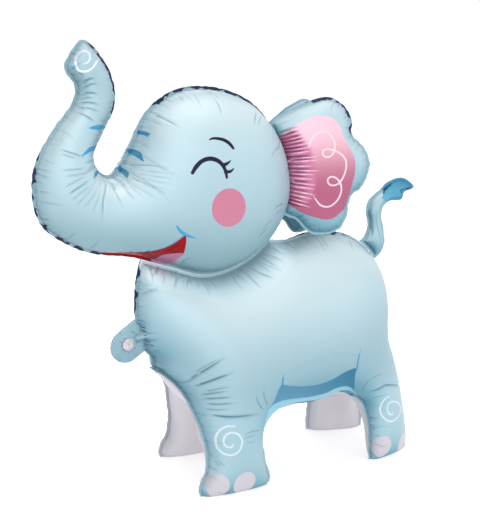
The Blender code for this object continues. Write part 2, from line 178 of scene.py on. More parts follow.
def around(flat, line, reach):
    # which points lie in the line's own box, grown by the reach
    return ((flat > line.min(axis=0) - reach) & (flat < line.max(axis=0) + reach)).all(axis=1)


def closest(outline, point):
    return int(np.argmin(np.linalg.norm(outline - point, axis=1)))


def ease(share):
    share = np.clip(share, 0.0, 1.0)
    return share * share * (3.0 - 2.0 * share)


# least distances between a sheet's points, in steps, and the rows along its seam, in metres
crowding = {"edge": 0.6, "line": 0.42, "lattice": 0.62, "seam": 0.45, "pucker": 0.0006,
            "rows": (0.5 * seamWidth, seamWidth, seamWidth + 0.0007, seamWidth + 0.0022)}


class Crowd:
    # points on a grid of cells, so that a new one is kept only at a distance from the rest
    def __init__(self, cell):
        self.cell = cell
        self.cells = {}
        self.points = []

    def add(self, points, distance=0.0):
        for x, z in points:
            key = (int(x // self.cell), int(z // self.cell))
            near = (point for i in (-1, 0, 1) for j in (-1, 0, 1)
                    for point in self.cells.get((key[0] + i, key[1] + j), ()))
            if distance and any((x - a) ** 2 + (z - b) ** 2 < distance**2 for a, b in near):
                continue
            self.cells.setdefault(key, []).append((x, z))
            self.points.append((x, z))


def fill(outline, step, seam=None, lines=(), hole=None):
    # fine triangles inside the outline: the outline's points first, then the hole's ring, rows along the
    # seam, points along the lines of print and creases, and a lattice
    seam = outline if seam is None else seam
    crowd = Crowd(step)
    crowd.add(outline)
    ring = []
    if hole is not None:
        turns = np.linspace(0, 2 * np.pi, tab["holePoints"], endpoint=False)
        ring = hole[0] + hole[1] * np.stack([np.cos(turns), np.sin(turns)], axis=1)
        crowd.add(ring)
    for depth in crowding["rows"]:
        row = within(seam - depth * outward(seam), seam, 0.93 * depth)
        crowd.add(row, crowding["pucker"] if depth > seamWidth else crowding["seam"] * step)
    for line in lines:
        crowd.add(within(np.asarray(line), outline, crowding["edge"] * step), crowding["line"] * step)
    low, high = outline.min(axis=0), outline.max(axis=0)
    rows = np.arange(low[1], high[1], step * 0.866)
    lattice = np.array([(x + (row % 2) * step / 2, z) for row, z in enumerate(rows)
                        for x in np.arange(low[0], high[0], step)])
    crowd.add(within(lattice, outline, crowding["edge"] * step), crowding["lattice"] * step)
    points = np.array(crowd.points)
    if len(ring):
        away = np.linalg.norm(points - hole[0], axis=1)
        own = np.arange(len(points))
        own = (own >= len(outline)) & (own < len(outline) + len(ring))
        points = points[(away > hole[1] * 1.08) | own]
    fixed = [list(range(len(outline)))]
    edges = [(len(outline) + k, len(outline) + (k + 1) % len(ring)) for k in range(len(ring))]
    found = delaunay_2d_cdt([Vector(p) for p in points], edges, fixed, 1, 1e-7)
    source = np.array([origin[0] if origin else -1 for origin in found[3]])
    triangles = source[np.array(found[2])]
    triangles = triangles[(triangles >= 0).all(axis=1)]
    if len(ring):
        middle = points[triangles].mean(axis=1)
        triangles = triangles[np.linalg.norm(middle - hole[0], axis=1) > hole[1] * 0.97]
    return points, triangles


# Inflation: a sealed pillow rises by the square root of Poisson's equation on its outline

def relax(points, triangles, held, value, source=0.0):
    # a smooth field over the sheet with the given values at the held points
    count = len(points)
    rows, columns, weights = [], [], []
    load = np.zeros(count)
    for turn in range(3):
        a, b, c = (triangles[:, (turn + k) % 3] for k in range(3))
        toA, toB = points[a] - points[c], points[b] - points[c]
        cross = np.abs(toA[:, 0] * toB[:, 1] - toA[:, 1] * toB[:, 0])
        weight = np.clip(0.5 * (toA * toB).sum(axis=1) / np.maximum(cross, 1e-12), -3.0, 3.0)
        rows += [a, b, a, b]
        columns += [b, a, a, b]
        weights += [-weight, -weight, weight, weight]
        load += np.bincount(c, cross / 6, count)
    rows, columns, weights = (np.concatenate(part) for part in (rows, columns, weights))
    diagonal = np.bincount(rows[rows == columns], weights[rows == columns], count)
    diagonal = np.where(diagonal > 0, diagonal, 1.0)
    free = ~held

    def apply(x):
        return np.bincount(rows, weights * x[columns], count) * free

    result = np.array(value, float) * held
    residual = source * load * free - apply(result)
    ahead = residual / diagonal
    direction, energy = ahead, residual @ ahead
    goal = 1e-12 * max(energy, 1e-30)
    for _ in range(3000):
        moved = apply(direction)
        share = energy / max(direction @ moved, 1e-300)
        result = result + share * direction
        residual = residual - share * moved
        ahead = residual / diagonal
        fresh = residual @ ahead
        if fresh < goal:
            break
        direction, energy = ahead + fresh / energy * direction, fresh
    return result


def puff(points, triangles, sealed):
    return np.sqrt(np.maximum(relax(points, triangles, sealed, np.zeros(len(points)), 4.0), 0.0))


def cornerNormals(points, triangles):
    a, b, c = (points[triangles[:, k]] for k in range(3))
    cross = np.cross(b - a, c - a)
    normals = np.stack([sum(np.bincount(triangles[:, k], cross[:, axis], len(points)) for k in range(3))
                        for axis in range(3)], axis=1)
    return normals / np.maximum(np.linalg.norm(normals, axis=1, keepdims=True), 1e-15)


# Creases: grooves in the foil along lines of the flat sheet, with a low lip on each side

grooves = {"reach": 3.2, "thin": 0.75, "grow": 0.6, "lip": 0.5, "lipAt": 2.0, "lipWide": 0.8,
           "markWide": 0.34, "markLeast": 0.0002, "markFull": 0.0009, "row": 0.0010, "rowStep": 0.0015}
puckers = {"wide": 0.0015, "widen": 0.018, "tall": 0.0006, "pull": 0.8, "pullMost": 0.0016,
           "pullWide": 0.0035, "reach": 0.011}


def crease(line, width, depth, rise, fall):
    return {"line": np.asarray(line, float), "width": width, "depth": depth, "rise": rise, "fall": fall}


def nearCreases(flat, creases, widths, more=0.0):
    # each crease with points near it: (crease, which points, how far off, share along it, strength there)
    for item in creases:
        line = item["line"]
        near = around(flat, line, widths * item["width"] + more)
        if near.any():
            away, place = nearest(flat[near], line, closed=False)
            share = place / (len(line) - 1)
            strength = ease(share / max(item["rise"], 1e-3)) * ease((1.0 - share) / item["fall"])
            yield item, near, away, share, strength


def creaseDepth(flat, creases):
    total = np.zeros(len(flat))
    for item, near, away, share, strength in nearCreases(flat, creases, grooves["reach"]):
        grown = item["width"] * (grooves["thin"] + grooves["grow"] * share)
        lip = np.exp(-(((away - grooves["lipAt"] * grown) / (grooves["lipWide"] * grown)) ** 2))
        total[near] -= item["depth"] * (np.exp(-((away / grown) ** 2)) - grooves["lip"] * lip) * strength
    return total


def creaseShading(flat, creases):
    # painted shade in the creases: 1 at the bottom of a deep crease, 0 off it
    marks = np.zeros(len(flat))
    wide, least = grooves["markWide"], grooves["markLeast"]
    for item, near, away, _, strength in nearCreases(flat, creases, 3 * wide, 3 * least):
        mark = np.exp(-((away / (wide * item["width"] + least)) ** 2)) * strength
        marks[near] = np.maximum(marks[near], mark * min(1.0, item["depth"] / grooves["markFull"]))
    return marks


def creaseLines(creases):
    # lines along the creases, which the triangles follow
    lines = []
    for item in creases:
        line = stretch(item["line"], grooves["rowStep"])
        side = across(line) * grooves["row"]
        lines += [line + share * side for share in (0.0, -1.0, 1.0, -2.2, 2.2)]
    return lines


def seamCreases(outline, spans, seed):
    # short creases that run in from the seam; each span gives two ends, spacing, length and depth
    chance = np.random.default_rng(seed)
    run = np.concatenate([[0.0], np.cumsum(np.linalg.norm(np.roll(outline, -1, axis=0) - outline, axis=1))])
    normals = outward(outline)
    found = []
    for start, end, spacing, length, depth in spans:
        first, last = closest(outline, placed(start)), closest(outline, placed(end))
        begin = run[first]
        finish = run[last] if last > first else run[last] + run[-1]
        at = begin + spacing * chance.uniform(0.2, 0.9)
        while at < finish:
            where = int(np.searchsorted(run, at % run[-1])) % len(outline)
            inwards = -normals[where]
            turn = chance.normal(0.0, 0.20)
            inwards = np.array([inwards[0] * np.cos(turn) - inwards[1] * np.sin(turn),
                                inwards[0] * np.sin(turn) + inwards[1] * np.cos(turn)])
            long = length * chance.lognormal(0.0, 0.45)
            near = outline[where] + inwards * 0.7 * seamWidth
            bend = np.array([-inwards[1], inwards[0]]) * long * chance.normal(0.0, 0.05)
            line = [near, near + inwards * long / 2 + bend, near + inwards * long]
            strong = depth * chance.uniform(0.45, 1.25)
            wide = puckers["wide"] + puckers["widen"] * long
            found.append({**crease(line, wide, strong, 0.02, 0.75), "seam": where})
            at += spacing * chance.uniform(0.55, 1.5)
    return found


def seamWave(outline, creases, seed, even=()):
    # how the seam's rim scallops in at each crease and waves from side to side, at each of the outline's
    # points, but for the even stretches
    chance = np.random.default_rng(seed)
    steps = np.linalg.norm(np.roll(outline, -1, axis=0) - outline, axis=1)
    length = steps.sum()
    run = np.concatenate([[0.0], np.cumsum(steps)[:-1]])
    wave, pull = np.zeros(len(outline)), np.zeros(len(outline))
    for _ in range(8):
        cycles = max(1, round(length / chance.uniform(0.017, 0.055)))
        wave += chance.normal(0.0, 0.5) * np.sin(2 * np.pi * cycles * run / length + chance.uniform(0, 6.28))
    for item in creases:
        apart = np.abs(run - run[item["seam"]])
        apart = np.minimum(apart, length - apart)
        pull += min(item["depth"], puckers["pullMost"]) * np.exp(-((apart / puckers["pullWide"]) ** 2))
    loose = 1.0 - edgeStretches(outline, even)
    return {"outline": outline, "normal": outward(outline), "wave": puckers["tall"] * wave * loose,
            "pull": puckers["pull"] * pull * loose}


def rimShift(flat, seam):
    # (in-plane move, sideways move) of the points near a seam
    away, place = nearest(flat, seam["outline"])
    fade = ease(1.0 - away / puckers["reach"])
    index = place.astype(int) % len(seam["outline"])
    return -seam["normal"][index] * (seam["pull"][index] * fade)[:, None], seam["wave"][index] * fade


def foldNoise(points, size, seed):
    # smooth noise from random plane waves, coarse and fine
    chance = np.random.default_rng(seed)
    total = np.zeros(len(points))
    for part in (1.0, 0.6):
        for _ in range(10):
            way = chance.normal(size=points.shape[1])
            way *= 2 * np.pi / (size * part * np.linalg.norm(way)) * chance.uniform(0.6, 1.3)
            total += part * np.sin(points @ way + chance.uniform(0, 6.28)) / 10**0.5
    return total


# Camera, found on the photograph in a frame whose zero lies between the feet

view = {"turn": -29.4, "rise": 11.5, "focal": 1224.0, "away": 2.10526, "across": -0.08, "up": 0.336842,
        "width": 480, "height": 516, "sensor": 36.0, "surface": 1.06}
filmLow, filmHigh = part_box("valve_film")
holeWay = np.array([np.cos(np.radians(tab["angle"])), np.sin(np.radians(tab["angle"]))])
holeAcross = np.array([-holeWay[1], holeWay[0]])
shiftX = (filmLow.x + filmHigh.x) / 2 - (np.array(tab["root"]) * scale + tab["reach"] * holeWay)[0]
shift = np.array([shiftX, 0.0])
turn, rise = np.radians([view["turn"], view["rise"]])
forward = np.array([-np.sin(turn) * np.cos(rise), np.cos(turn) * np.cos(rise), -np.sin(rise)])
rightward = np.array([np.cos(turn), np.sin(turn), 0.0])
upward = np.cross(rightward, forward)
eye = rightward * view["across"] + upward * view["up"] - forward * view["away"] + np.array([shiftX, 0, 0])
pixel = view["away"] / view["focal"] * view["surface"]  # on the balloon, in metres


def placed(points):
    # drawn points in the frame of the part
    return np.asarray(points, float) * scale + shift


tabRoot = placed(tab["root"])
tabHole = tabRoot + tab["reach"] * holeWay


def show(thing):
    bpy.context.scene.collection.objects.link(thing)
    return thing


def makeCamera():
    camera = show(bpy.data.objects.new("camera", bpy.data.cameras.new("camera")))
    camera.data.lens = view["focal"] * view["sensor"] / view["height"]
    camera.data.clip_end = 50.0
    basis = Matrix([[rightward[k], upward[k], -forward[k]] for k in range(3)])
    camera.matrix_world = Matrix.Translation(Vector(eye)) @ basis.to_4x4()
    bpy.context.scene.camera = camera


def targetFor(node):
    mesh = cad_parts[node].data
    return BVHTree.FromPolygons([v.co[:] for v in mesh.vertices], [p.vertices[:] for p in mesh.polygons])


def onSolid(pixels, target, plane=-0.02):
    # where the photograph's pixels fall on a solid, or on an upright plane where they miss it
    found = []
    for px, py in pixels:
        ray = forward + rightward * (px - view["width"] / 2) / view["focal"] \
            - upward * (py - view["height"] / 2) / view["focal"]
        hit = target.ray_cast(Vector(eye), Vector(ray).normalized())[0]
        found.append(np.array(hit) if hit is not None else eye + ray * (plane - eye[1]) / ray[1])
    return np.array(found)


def onSheet(pixels, target, local=None):
    # the same on the flat sheet, as (x, z) in the sheet's own frame
    found = onSolid([q[:2] for q in pixels], target)
    if local is not None:
        back = np.asarray(local.inverted())
        found = np.array([(back @ np.append(point, 1.0))[:3] for point in found])
    return found[:, [0, 2]]


# Print, and painted shade and highlights laid down the same way: strokes and areas on the flat sheet, as
# distances to their edges

printing = {"strokeStep": 0.0015, "reach": 0.02, "edge": 0.0004, "pleatEdge": 0.0050}


def ellipse(x, y, wide, tall, tilt=0.0, count=20):
    turns = np.linspace(0, 2 * np.pi, count, endpoint=False)
    c, s = np.cos(np.radians(tilt)), np.sin(np.radians(tilt))
    return [(x + wide * np.cos(t) * c - tall * np.sin(t) * s, y + wide * np.cos(t) * s + tall * np.sin(t) * c)
            for t in turns]


def inkShape(item, target, local=None):
    # in pixels, a stroke is a list of (x, y, half width), an area is a list of (x, y), and a spot, which is
    # an ellipse on the flat sheet, is one (x, y, half width, half height, tilt)
    if isinstance(item, tuple):
        x, y, wide, tall, tilt = item
        spot = np.array(ellipse(0, 0, wide / np.cos(turn), tall, -tilt))
        return loop(onSheet([(x, y)], target)[0] + spot * pixel)
    flat = onSheet(item, target, local)
    if len(item[0]) == 2:
        return loop(flat)
    wide = np.array([q[2] for q in item])[:, None] * pixel
    return stretch(np.hstack([flat, wide]), printing["strokeStep"])


def layInks(drawn, target, local=None):
    return {key: [inkShape(item, target, local) for item in items] for key, items in drawn.items()}


def strokeField(flat, stroke):
    line, wide = stroke[:, :2], stroke[:, 2]
    near = around(flat, line, printing["reach"])
    field = np.full(len(flat), printing["reach"])
    if near.any():
        away, place = nearest(flat[near], line, closed=False)
        field[near] = away - np.interp(place, np.arange(len(wide)), wide)
    return field


def areaField(flat, outline):
    away = nearest(flat, outline)[0]
    return np.where(inside(flat, outline), -away, away)


def inkField(flat, inks):
    field = np.full(len(flat), printing["reach"])
    for item in inks:
        field = np.minimum(field, areaField(flat, item) if item.shape[1] == 2 else strokeField(flat, item))
    return np.clip(field, -printing["reach"], printing["reach"])


def inkEdges(inks):
    # lines along the print's edges, which the triangles follow
    lines = []
    for item in (item for group in inks.values() for item in group):
        if item.shape[1] == 2:
            lines.append(item)
            continue
        line = item[:, :2]
        side = across(line) * item[:, 2:]
        lines += [line + side, line - side, line]
    return lines


# Shader maths as expressions

def addNode(tree, kind, settings=None, sockets=None, output=0):
    # any node: its settings first, then the value or link of each socket, by name or number
    node = tree.nodes.new("ShaderNode" + kind)
    for key, value in (settings or {}).items():
        setattr(node, key, value)
    for key, value in (sockets or {}).items():
        if isinstance(value, Value):
            tree.links.new(value.socket, node.inputs[key])
        else:
            node.inputs[key].default_value = value
    return Value(tree, node.outputs[output])


class Value:
    def __init__(self, tree, socket):
        self.tree, self.socket = tree, socket

    def maths(self, kind, other):
        return addNode(self.tree, "Math", {"operation": kind}, {0: self, 1: other})

    def __add__(self, other):
        return self.maths("ADD", other)

    def __mul__(self, other):
        return self.maths("MULTIPLY", other)

    __radd__, __rmul__ = __add__, __mul__

    def smooth(self, low, high):
        # 0 at low, 1 at high, smooth between
        return addNode(self.tree, "MapRange", {"interpolation_type": "SMOOTHSTEP"},
                       {"Value": self, "From Min": low, "From Max": high}, "Result")


class Shader:
    def __init__(self, name, base, roughness, metallic, coat=0.0, coatRoughness=0.1, specular=0.5):
        self.material = bpy.data.materials.new(name)
        self.material.use_nodes = True
        self.tree = self.material.node_tree
        self.surface = self.tree.nodes["Principled BSDF"]
        self.set("Base Color", (*base, 1.0))
        self.set("Roughness", roughness)
        self.set("Metallic", metallic)
        self.set("Coat Weight", coat)
        self.set("Coat Roughness", coatRoughness)
        self.set("Specular IOR Level", specular)

    def set(self, name, value):
        self.surface.inputs[name].default_value = value

    def give(self, name, value):
        self.tree.links.new(value.socket, self.surface.inputs[name])

    def attribute(self, name):
        return addNode(self.tree, "Attribute", {"attribute_name": name}, output="Fac")

    def noise(self, size, detail=3.0, roughness=0.5):
        spot = addNode(self.tree, "TexCoord", output="Object")
        return addNode(self.tree, "TexNoise", {}, {"Vector": spot, "Scale": 1.0 / size, "Detail": detail,
                                                   "Roughness": roughness}, "Fac")

    def mix(self, share, first, second):
        first, second = ((*item, 1.0) if isinstance(item, tuple) else item for item in (first, second))
        return addNode(self.tree, "Mix", {"data_type": "RGBA"}, {0: share, 6: first, 7: second}, 2)

    def bump(self, height, distance, strength=1.0):
        self.give("Normal", addNode(self.tree, "Bump", {}, {"Height": height, "Distance": distance,
                                                            "Strength": strength}))


colours = {
    # the foil's deep colours are painted shade, its pale and lit ones painted light
    "foil": (0.400, 0.565, 0.630), "foilUnderShade": (0.140, 0.335, 0.420), "foilTopLight": (0.600, 0.720, 0.760),
    "headUnderShade": (0.235, 0.380, 0.435), "foilLit": (0.760, 0.930, 0.980), "pearl": (0.590, 0.565, 0.600),
    "dark": (0.022, 0.018, 0.052), "navy": (0.035, 0.055, 0.120), "blue": (0.040, 0.290, 0.500),
    "cheek": (0.520, 0.175, 0.270), "red": (0.330, 0.005, 0.008), "tongue": (0.520, 0.210, 0.330),
    "white": (0.590, 0.690, 0.740), "trunkWhite": (0.860, 0.890, 0.930), "earWhite": (0.780, 0.600, 0.670),
    "nail": (0.560, 0.530, 0.580), "rim": (0.260, 0.560, 0.700), "band": (0.085, 0.280, 0.430),
    # the ear's pale pink is painted light on its pink
    "bandRear": (0.005, 0.175, 0.300), "pink": (0.400, 0.095, 0.180), "pale": (0.860, 0.540, 0.640),
    # the pleat pink is painted shade, the gleam a painted highlight
    "pleat": (0.520, 0.170, 0.300), "gleam": (0.850, 0.520, 0.680), "tuft": (0.030, 0.250, 0.420),
    # the tuft's deepest blue is a painted shadow
    "tuftPale": (0.140, 0.470, 0.620), "tuftShadowColour": (0.010, 0.100, 0.200), "film": (0.640, 0.560, 0.590),
    "filmShade": (0.50, 0.52, 0.56),
}
foil = {"metallic": 0.30, "metallicInk": 0.6, "roughness": 0.50, "coat": 0.10, "coatRoughness": 0.36,
        "bumpSize": 0.030, "fineSize": 0.009, "fine": 0.3, "bump": 0.0010, "bumpStrength": 0.22,
        "under": (0.32, -0.62), "top": (0.10, 0.80), "seam": (0.020, 0.003), "creaseShade": 0.72,
        "seamShade": 0.32, "beltShade": 0.33, "neckLight": 0.75, "shadow": (0.26, 0.42, 0.50)}


def foilShader(name, base, inks, deep=None, lit=False, metal=()):
    # foil with painted shade towards the underside and the seams, painted light on top, and the print over it.
    # An ink is one colour, or two that follow the shade. Dark inks look deeper with more metal.
    shader = Shader(name, colours[base], foil["roughness"], foil["metallic"], foil["coat"],
                    foil["coatRoughness"])
    colour = colours[base]
    # painted shade where the sheet faces down, painted light where it faces up
    if deep:
        lean = shader.attribute("lean")
        colour = shader.mix(lean.smooth(*foil["under"]), colour, colours[deep])
        colour = shader.mix(lean.smooth(*foil["top"]), colour, colours["foilTopLight"])
    # painted light on the body just under the head
    if lit:
        colour = shader.mix(shader.attribute("underHeadLight") * foil["neckLight"], colour, colours["foilLit"])
    masks = {}
    for key, ink in inks.items():
        edge = printing["pleatEdge" if key == "pleatShade" else "edge"]
        masks[key] = shader.attribute(key).smooth(edge, -edge)
        if isinstance(ink, tuple):
            ink = shader.mix(shader.attribute("shade").smooth(0.0, 1.0), colours[ink[0]], colours[ink[1]])
        else:
            ink = colours[ink]
        colour = shader.mix(masks[key], colour, ink)
    # painted shade in the creases
    folds = shader.attribute("crease") * foil["creaseShade"]
    # painted shade near the seams
    seams = shader.attribute("away").smooth(*foil["seam"]) * foil["seamShade"]
    # painted shade on the belts; all three darken the colour towards the shadow tint
    shades = folds.maths("MAXIMUM", seams) + shader.attribute("belt") * foil["beltShade"]
    dark = addNode(shader.tree, "VectorMath", {"operation": "MULTIPLY"}, {0: colour, 1: foil["shadow"]})
    shader.give("Base Color", shader.mix(shades, colour, dark))
    if metal:
        metallic = masks[metal[0]]
        for key in metal[1:]:
            metallic = metallic.maths("MAXIMUM", masks[key])
        shader.give("Metallic", metallic * foil["metallicInk"] + foil["metallic"])
    fine = shader.noise(foil["fineSize"], 4.0, 0.55) * foil["fine"] + shader.noise(foil["bumpSize"])
    shader.bump(fine, foil["bump"], foil["bumpStrength"])
    return shader.material


# Meshes

softFolds = {"size": 0.060, "deep": 0.00022, "gussetDeep": 0.0005, "over": 0.010, "bodyOver": 0.012,
             "gussetOver": 0.015, "creaseFrom": 0.6 * seamWidth, "creaseOver": 0.003}
edgeLine = {"wide": 0.0042, "even": 0.95, "size": 0.022, "most": 0.0052, "off": 0.001, "soft": 9}
sharpAngle = 42


def pieceFrom(name, points, faces, fields, materials, faceMaterials=None):
    mesh = bpy.data.meshes.new(name)
    mesh.from_pydata(points.tolist(), [], [list(face) for face in faces])
    for key, values in fields.items():
        attribute = mesh.attributes.new(key, "FLOAT", "POINT")
        attribute.data.foreach_set("value", np.asarray(values, np.float32))
    for material in materials:
        mesh.materials.append(material)
    if faceMaterials is not None:
        mesh.polygons.foreach_set("material_index", np.asarray(faceMaterials, np.int32))
    mesh.polygons.foreach_set("use_smooth", np.ones(len(faces), bool))
    mesh.update()
    piece = show(bpy.data.objects.new(name, mesh))
    mesh.set_sharp_from_angle(angle=np.radians(sharpAngle))
    return piece


def ringFaces(first, second, closed=True):
    # quads between two equal rows of points; their outside is on the right of the first row
    count = len(first)
    last = count if closed else count - 1
    return [(first[i], second[i], second[(i + 1) % count], first[(i + 1) % count]) for i in range(last)]


def slide(points, seamMoves):
    inPlane, sideways = seamMoves
    return points + np.stack([inPlane[:, 0], sideways, inPlane[:, 1]], axis=1)


def sideSheets(flat, triangles, rise, away, loose, creases, seam, seed):
    # a balloon's left and right sheets: the points of both, then their leans, then the painted shade of their
    # creases
    moves = rimShift(flat, seam)
    found = []
    for side in (-1, 1):
        points = np.stack([flat[:, 0], side * rise, flat[:, 1]], axis=1)
        normals = cornerNormals(points, triangles if side < 0 else triangles[:, ::-1])
        depth = creaseDepth(flat, creases[side])
        depth += softFolds["deep"] * foldNoise(flat, softFolds["size"], seed + side) * loose
        depth *= ease((away - softFolds["creaseFrom"]) / softFolds["creaseOver"])
        points += normals * depth[:, None]
        found.append((slide(points, moves), normals[:, 2], creaseShading(flat, creases[side])))
    return zip(*found)


def twoSided(name, outline, shape, inks, creases, seam, material, extraFields):
    # a sealed pillow: both sheets, each with its own creases, and the rim between them
    lines = inkEdges(inks) + creaseLines(creases[-1]) + creaseLines(creases[1])
    flat, triangles = fill(outline, shape["step"], lines=lines)
    away = nearest(flat, outline)[0]
    rise = seamThickness / 2 + shape["bulge"] * puff(flat, triangles, away < sealedWidth)
    loose = ease((away - seamWidth) / softFolds["over"])
    sheets, leans, marks = sideSheets(flat, triangles, rise, away, loose, creases, seam, 11)
    count, first = len(outline), len(flat)
    faces = [tuple(t) for t in triangles] + [tuple(t) for t in triangles[:, ::-1] + first]
    faces += ringFaces(list(range(count)), list(range(first, first + count)))
    fields = {key: np.tile(inkField(flat, group), 2) for key, group in inks.items()}
    fields.update({"away": np.tile(away, 2), "lean": np.concatenate(leans), "crease": np.concatenate(marks)})
    for key, values in extraFields(flat, away).items():
        fields[key] = np.tile(values, 2)
    return pieceFrom(name, np.vstack(sheets), faces, fields, [material])


def finishPiece(piece, node):
    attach(piece, "root")
    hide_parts(node)
    print("made", piece.name, len(piece.data.polygons))


def edgeStretches(outline, spans):
    # 1 on stretches of an outline, each from one drawn point anticlockwise to another, and 0 off them
    mask = np.zeros(len(outline))
    for start, end in spans:
        first, last = closest(outline, placed(start)), closest(outline, placed(end))
        count = (last - first) % len(outline)
        mask[(first + np.arange(count + 1)) % len(outline)] = 1.0
    return mask


def darkEdge(flat, away, outline, stretches, seed):
    # painted shadow on parts of the rim, as a dark line: it swells and breaks off at the puckers
    place = nearest(flat, outline)[1].astype(int) % len(outline)
    wide = edgeLine["wide"] * (edgeLine["even"] + foldNoise(outline, edgeLine["size"], seed))
    wide = np.clip(wide, -edgeLine["off"], edgeLine["most"])
    window = np.ones(edgeLine["soft"]) / edgeLine["soft"]
    soft = np.convolve(np.tile(stretches, 3), window, "same")[len(outline) : 2 * len(outline)]
    field = away - (wide * soft - edgeLine["off"] * (1 - soft))[place]
    return np.clip(field, -printing["reach"], printing["reach"])


drawing = {"wide": 0.66, "deep": 0.85, "step": 0.006, "rise": 0.2, "fall": 0.45}


def photoCreases(items, target, local=None):
    # creases drawn on the photograph: (pixels, half width in pixels, depth in millimetres)
    found = []
    for pixels, wide, deep in items:
        line = stretch(onSheet(pixels, target, local), drawing["step"])
        found.append(crease(line, drawing["wide"] * wide * pixel, drawing["deep"] * deep * scale,
                            drawing["rise"], drawing["fall"]))
    return found


# Head

headShape = {"step": 0.0024, "bulge": 0.62, "beltFrom": 0.585, "beltOver": 0.060, "belt": 0.55}
headEdge = loop(placed(headOutline), headShape["step"])

headPrint = {
    "inkDark": [
        [(209.3, 139.8, .5), (213, 138.4, .9), (218.2, 138.6, 1.2), (223, 139.6, 1.4), (227.3, 141.8, 1.5),
         (230.6, 144.8, 1.5), (233.3, 148.4, 1.2)],
        [(192.6, 172.9, 1.4), (196.4, 166.8, 1.7), (202.0, 161.2, 1.7), (209.3, 158.7, 1.8),
         (216.4, 160, 1.8), (221.8, 163.9, 1.7), (225.4, 170.2, 1.5), (226.9, 177.5, 1.2)],
        [(222.6, 165.4, 1.5), (227.6, 163.4, 1.2), (231.3, 160, .3)],
        [(225.5, 171.8, 1.5), (230.6, 171.4, 1.2), (234.6, 167.8, .3)],
    ],
    "inkCheek": [
        ellipse(228.9, 207.7, 16.9, 19.4, 12),
    ],
    "inkRed": [
        [(91, 252.4), (105, 252.6), (120, 252.3), (134, 252.0), (147, 251.6), (158, 249.4), (168.4, 245.6),
         (177.5, 240.8), (185.4, 235.6), (186.2, 240.5), (184.8, 248.6), (181.6, 254.8), (175, 259.8),
         (163, 263.4), (148, 262.5), (134, 261), (120, 259), (104, 256.5)],
    ],
    "inkTongue": [
        [(151.3, 260.4), (161, 255.9), (171.8, 253.2), (182.9, 253.2), (178, 258.9), (168.2, 264),
         (157.5, 263.1)],
    ],
    "inkBlue": [
        [(176.5, 225.4, .5), (180.5, 231.2, 1.3), (187.9, 235.8, 1.2), (196.6, 238.3, .3)],
        [(147, 251.6, .3), (158.4, 249.2, .7), (168.6, 245.3, .8), (177.6, 240.4, .8), (185.4, 235.2, .9)],
        [(87.6, 127.9, .3), (92, 127.4, 1.4), (97, 127.2, 2.0), (101.5, 127.3, 1.8), (105.5, 127.6, 1.1)],
        [(80.7, 155.9, .3), (85.6, 152.2, 1.3), (91, 149.2, 1.9), (95.9, 147, 1.6)],
        [(93.2, 178.2, .3), (96.6, 173.2, 1.4), (99.5, 170.2, 1.1)],
        [(148.8, 137.8, .1), (146.6, 135.8, .6), (143.6, 133.9, 1.2), (139.4, 132.4, 1.8),
         (134.6, 131.8, 1.9)],
        [(143.4, 161.6, .3), (138.6, 155.8, 1.8), (133.6, 152.4, 2.4), (128.9, 150.6, 1.8)],
        [(128.6, 180.0, .1), (127, 177.4, .5), (125.2, 174.8, 1.0), (122.2, 170.8, 1.6), (118.8, 166.6, 1.8)],
    ],
    "inkWhite": [
        [(97.7, 56.8, .5), (95.9, 63.0, .8), (91.0, 68.6, .72), (85.2, 71.4, .72), (79.4, 70.6, .8),
         (76.2, 66.2, .8), (75.4, 60.6, .8), (77.0, 55.2, .8), (80.8, 51.8, .8), (85.4, 50.8, .72),
         (89.2, 53.4, .8), (89.6, 58.4, .7), (87, 62.4, .6), (82.5, 63.9, .3)],
    ],
}

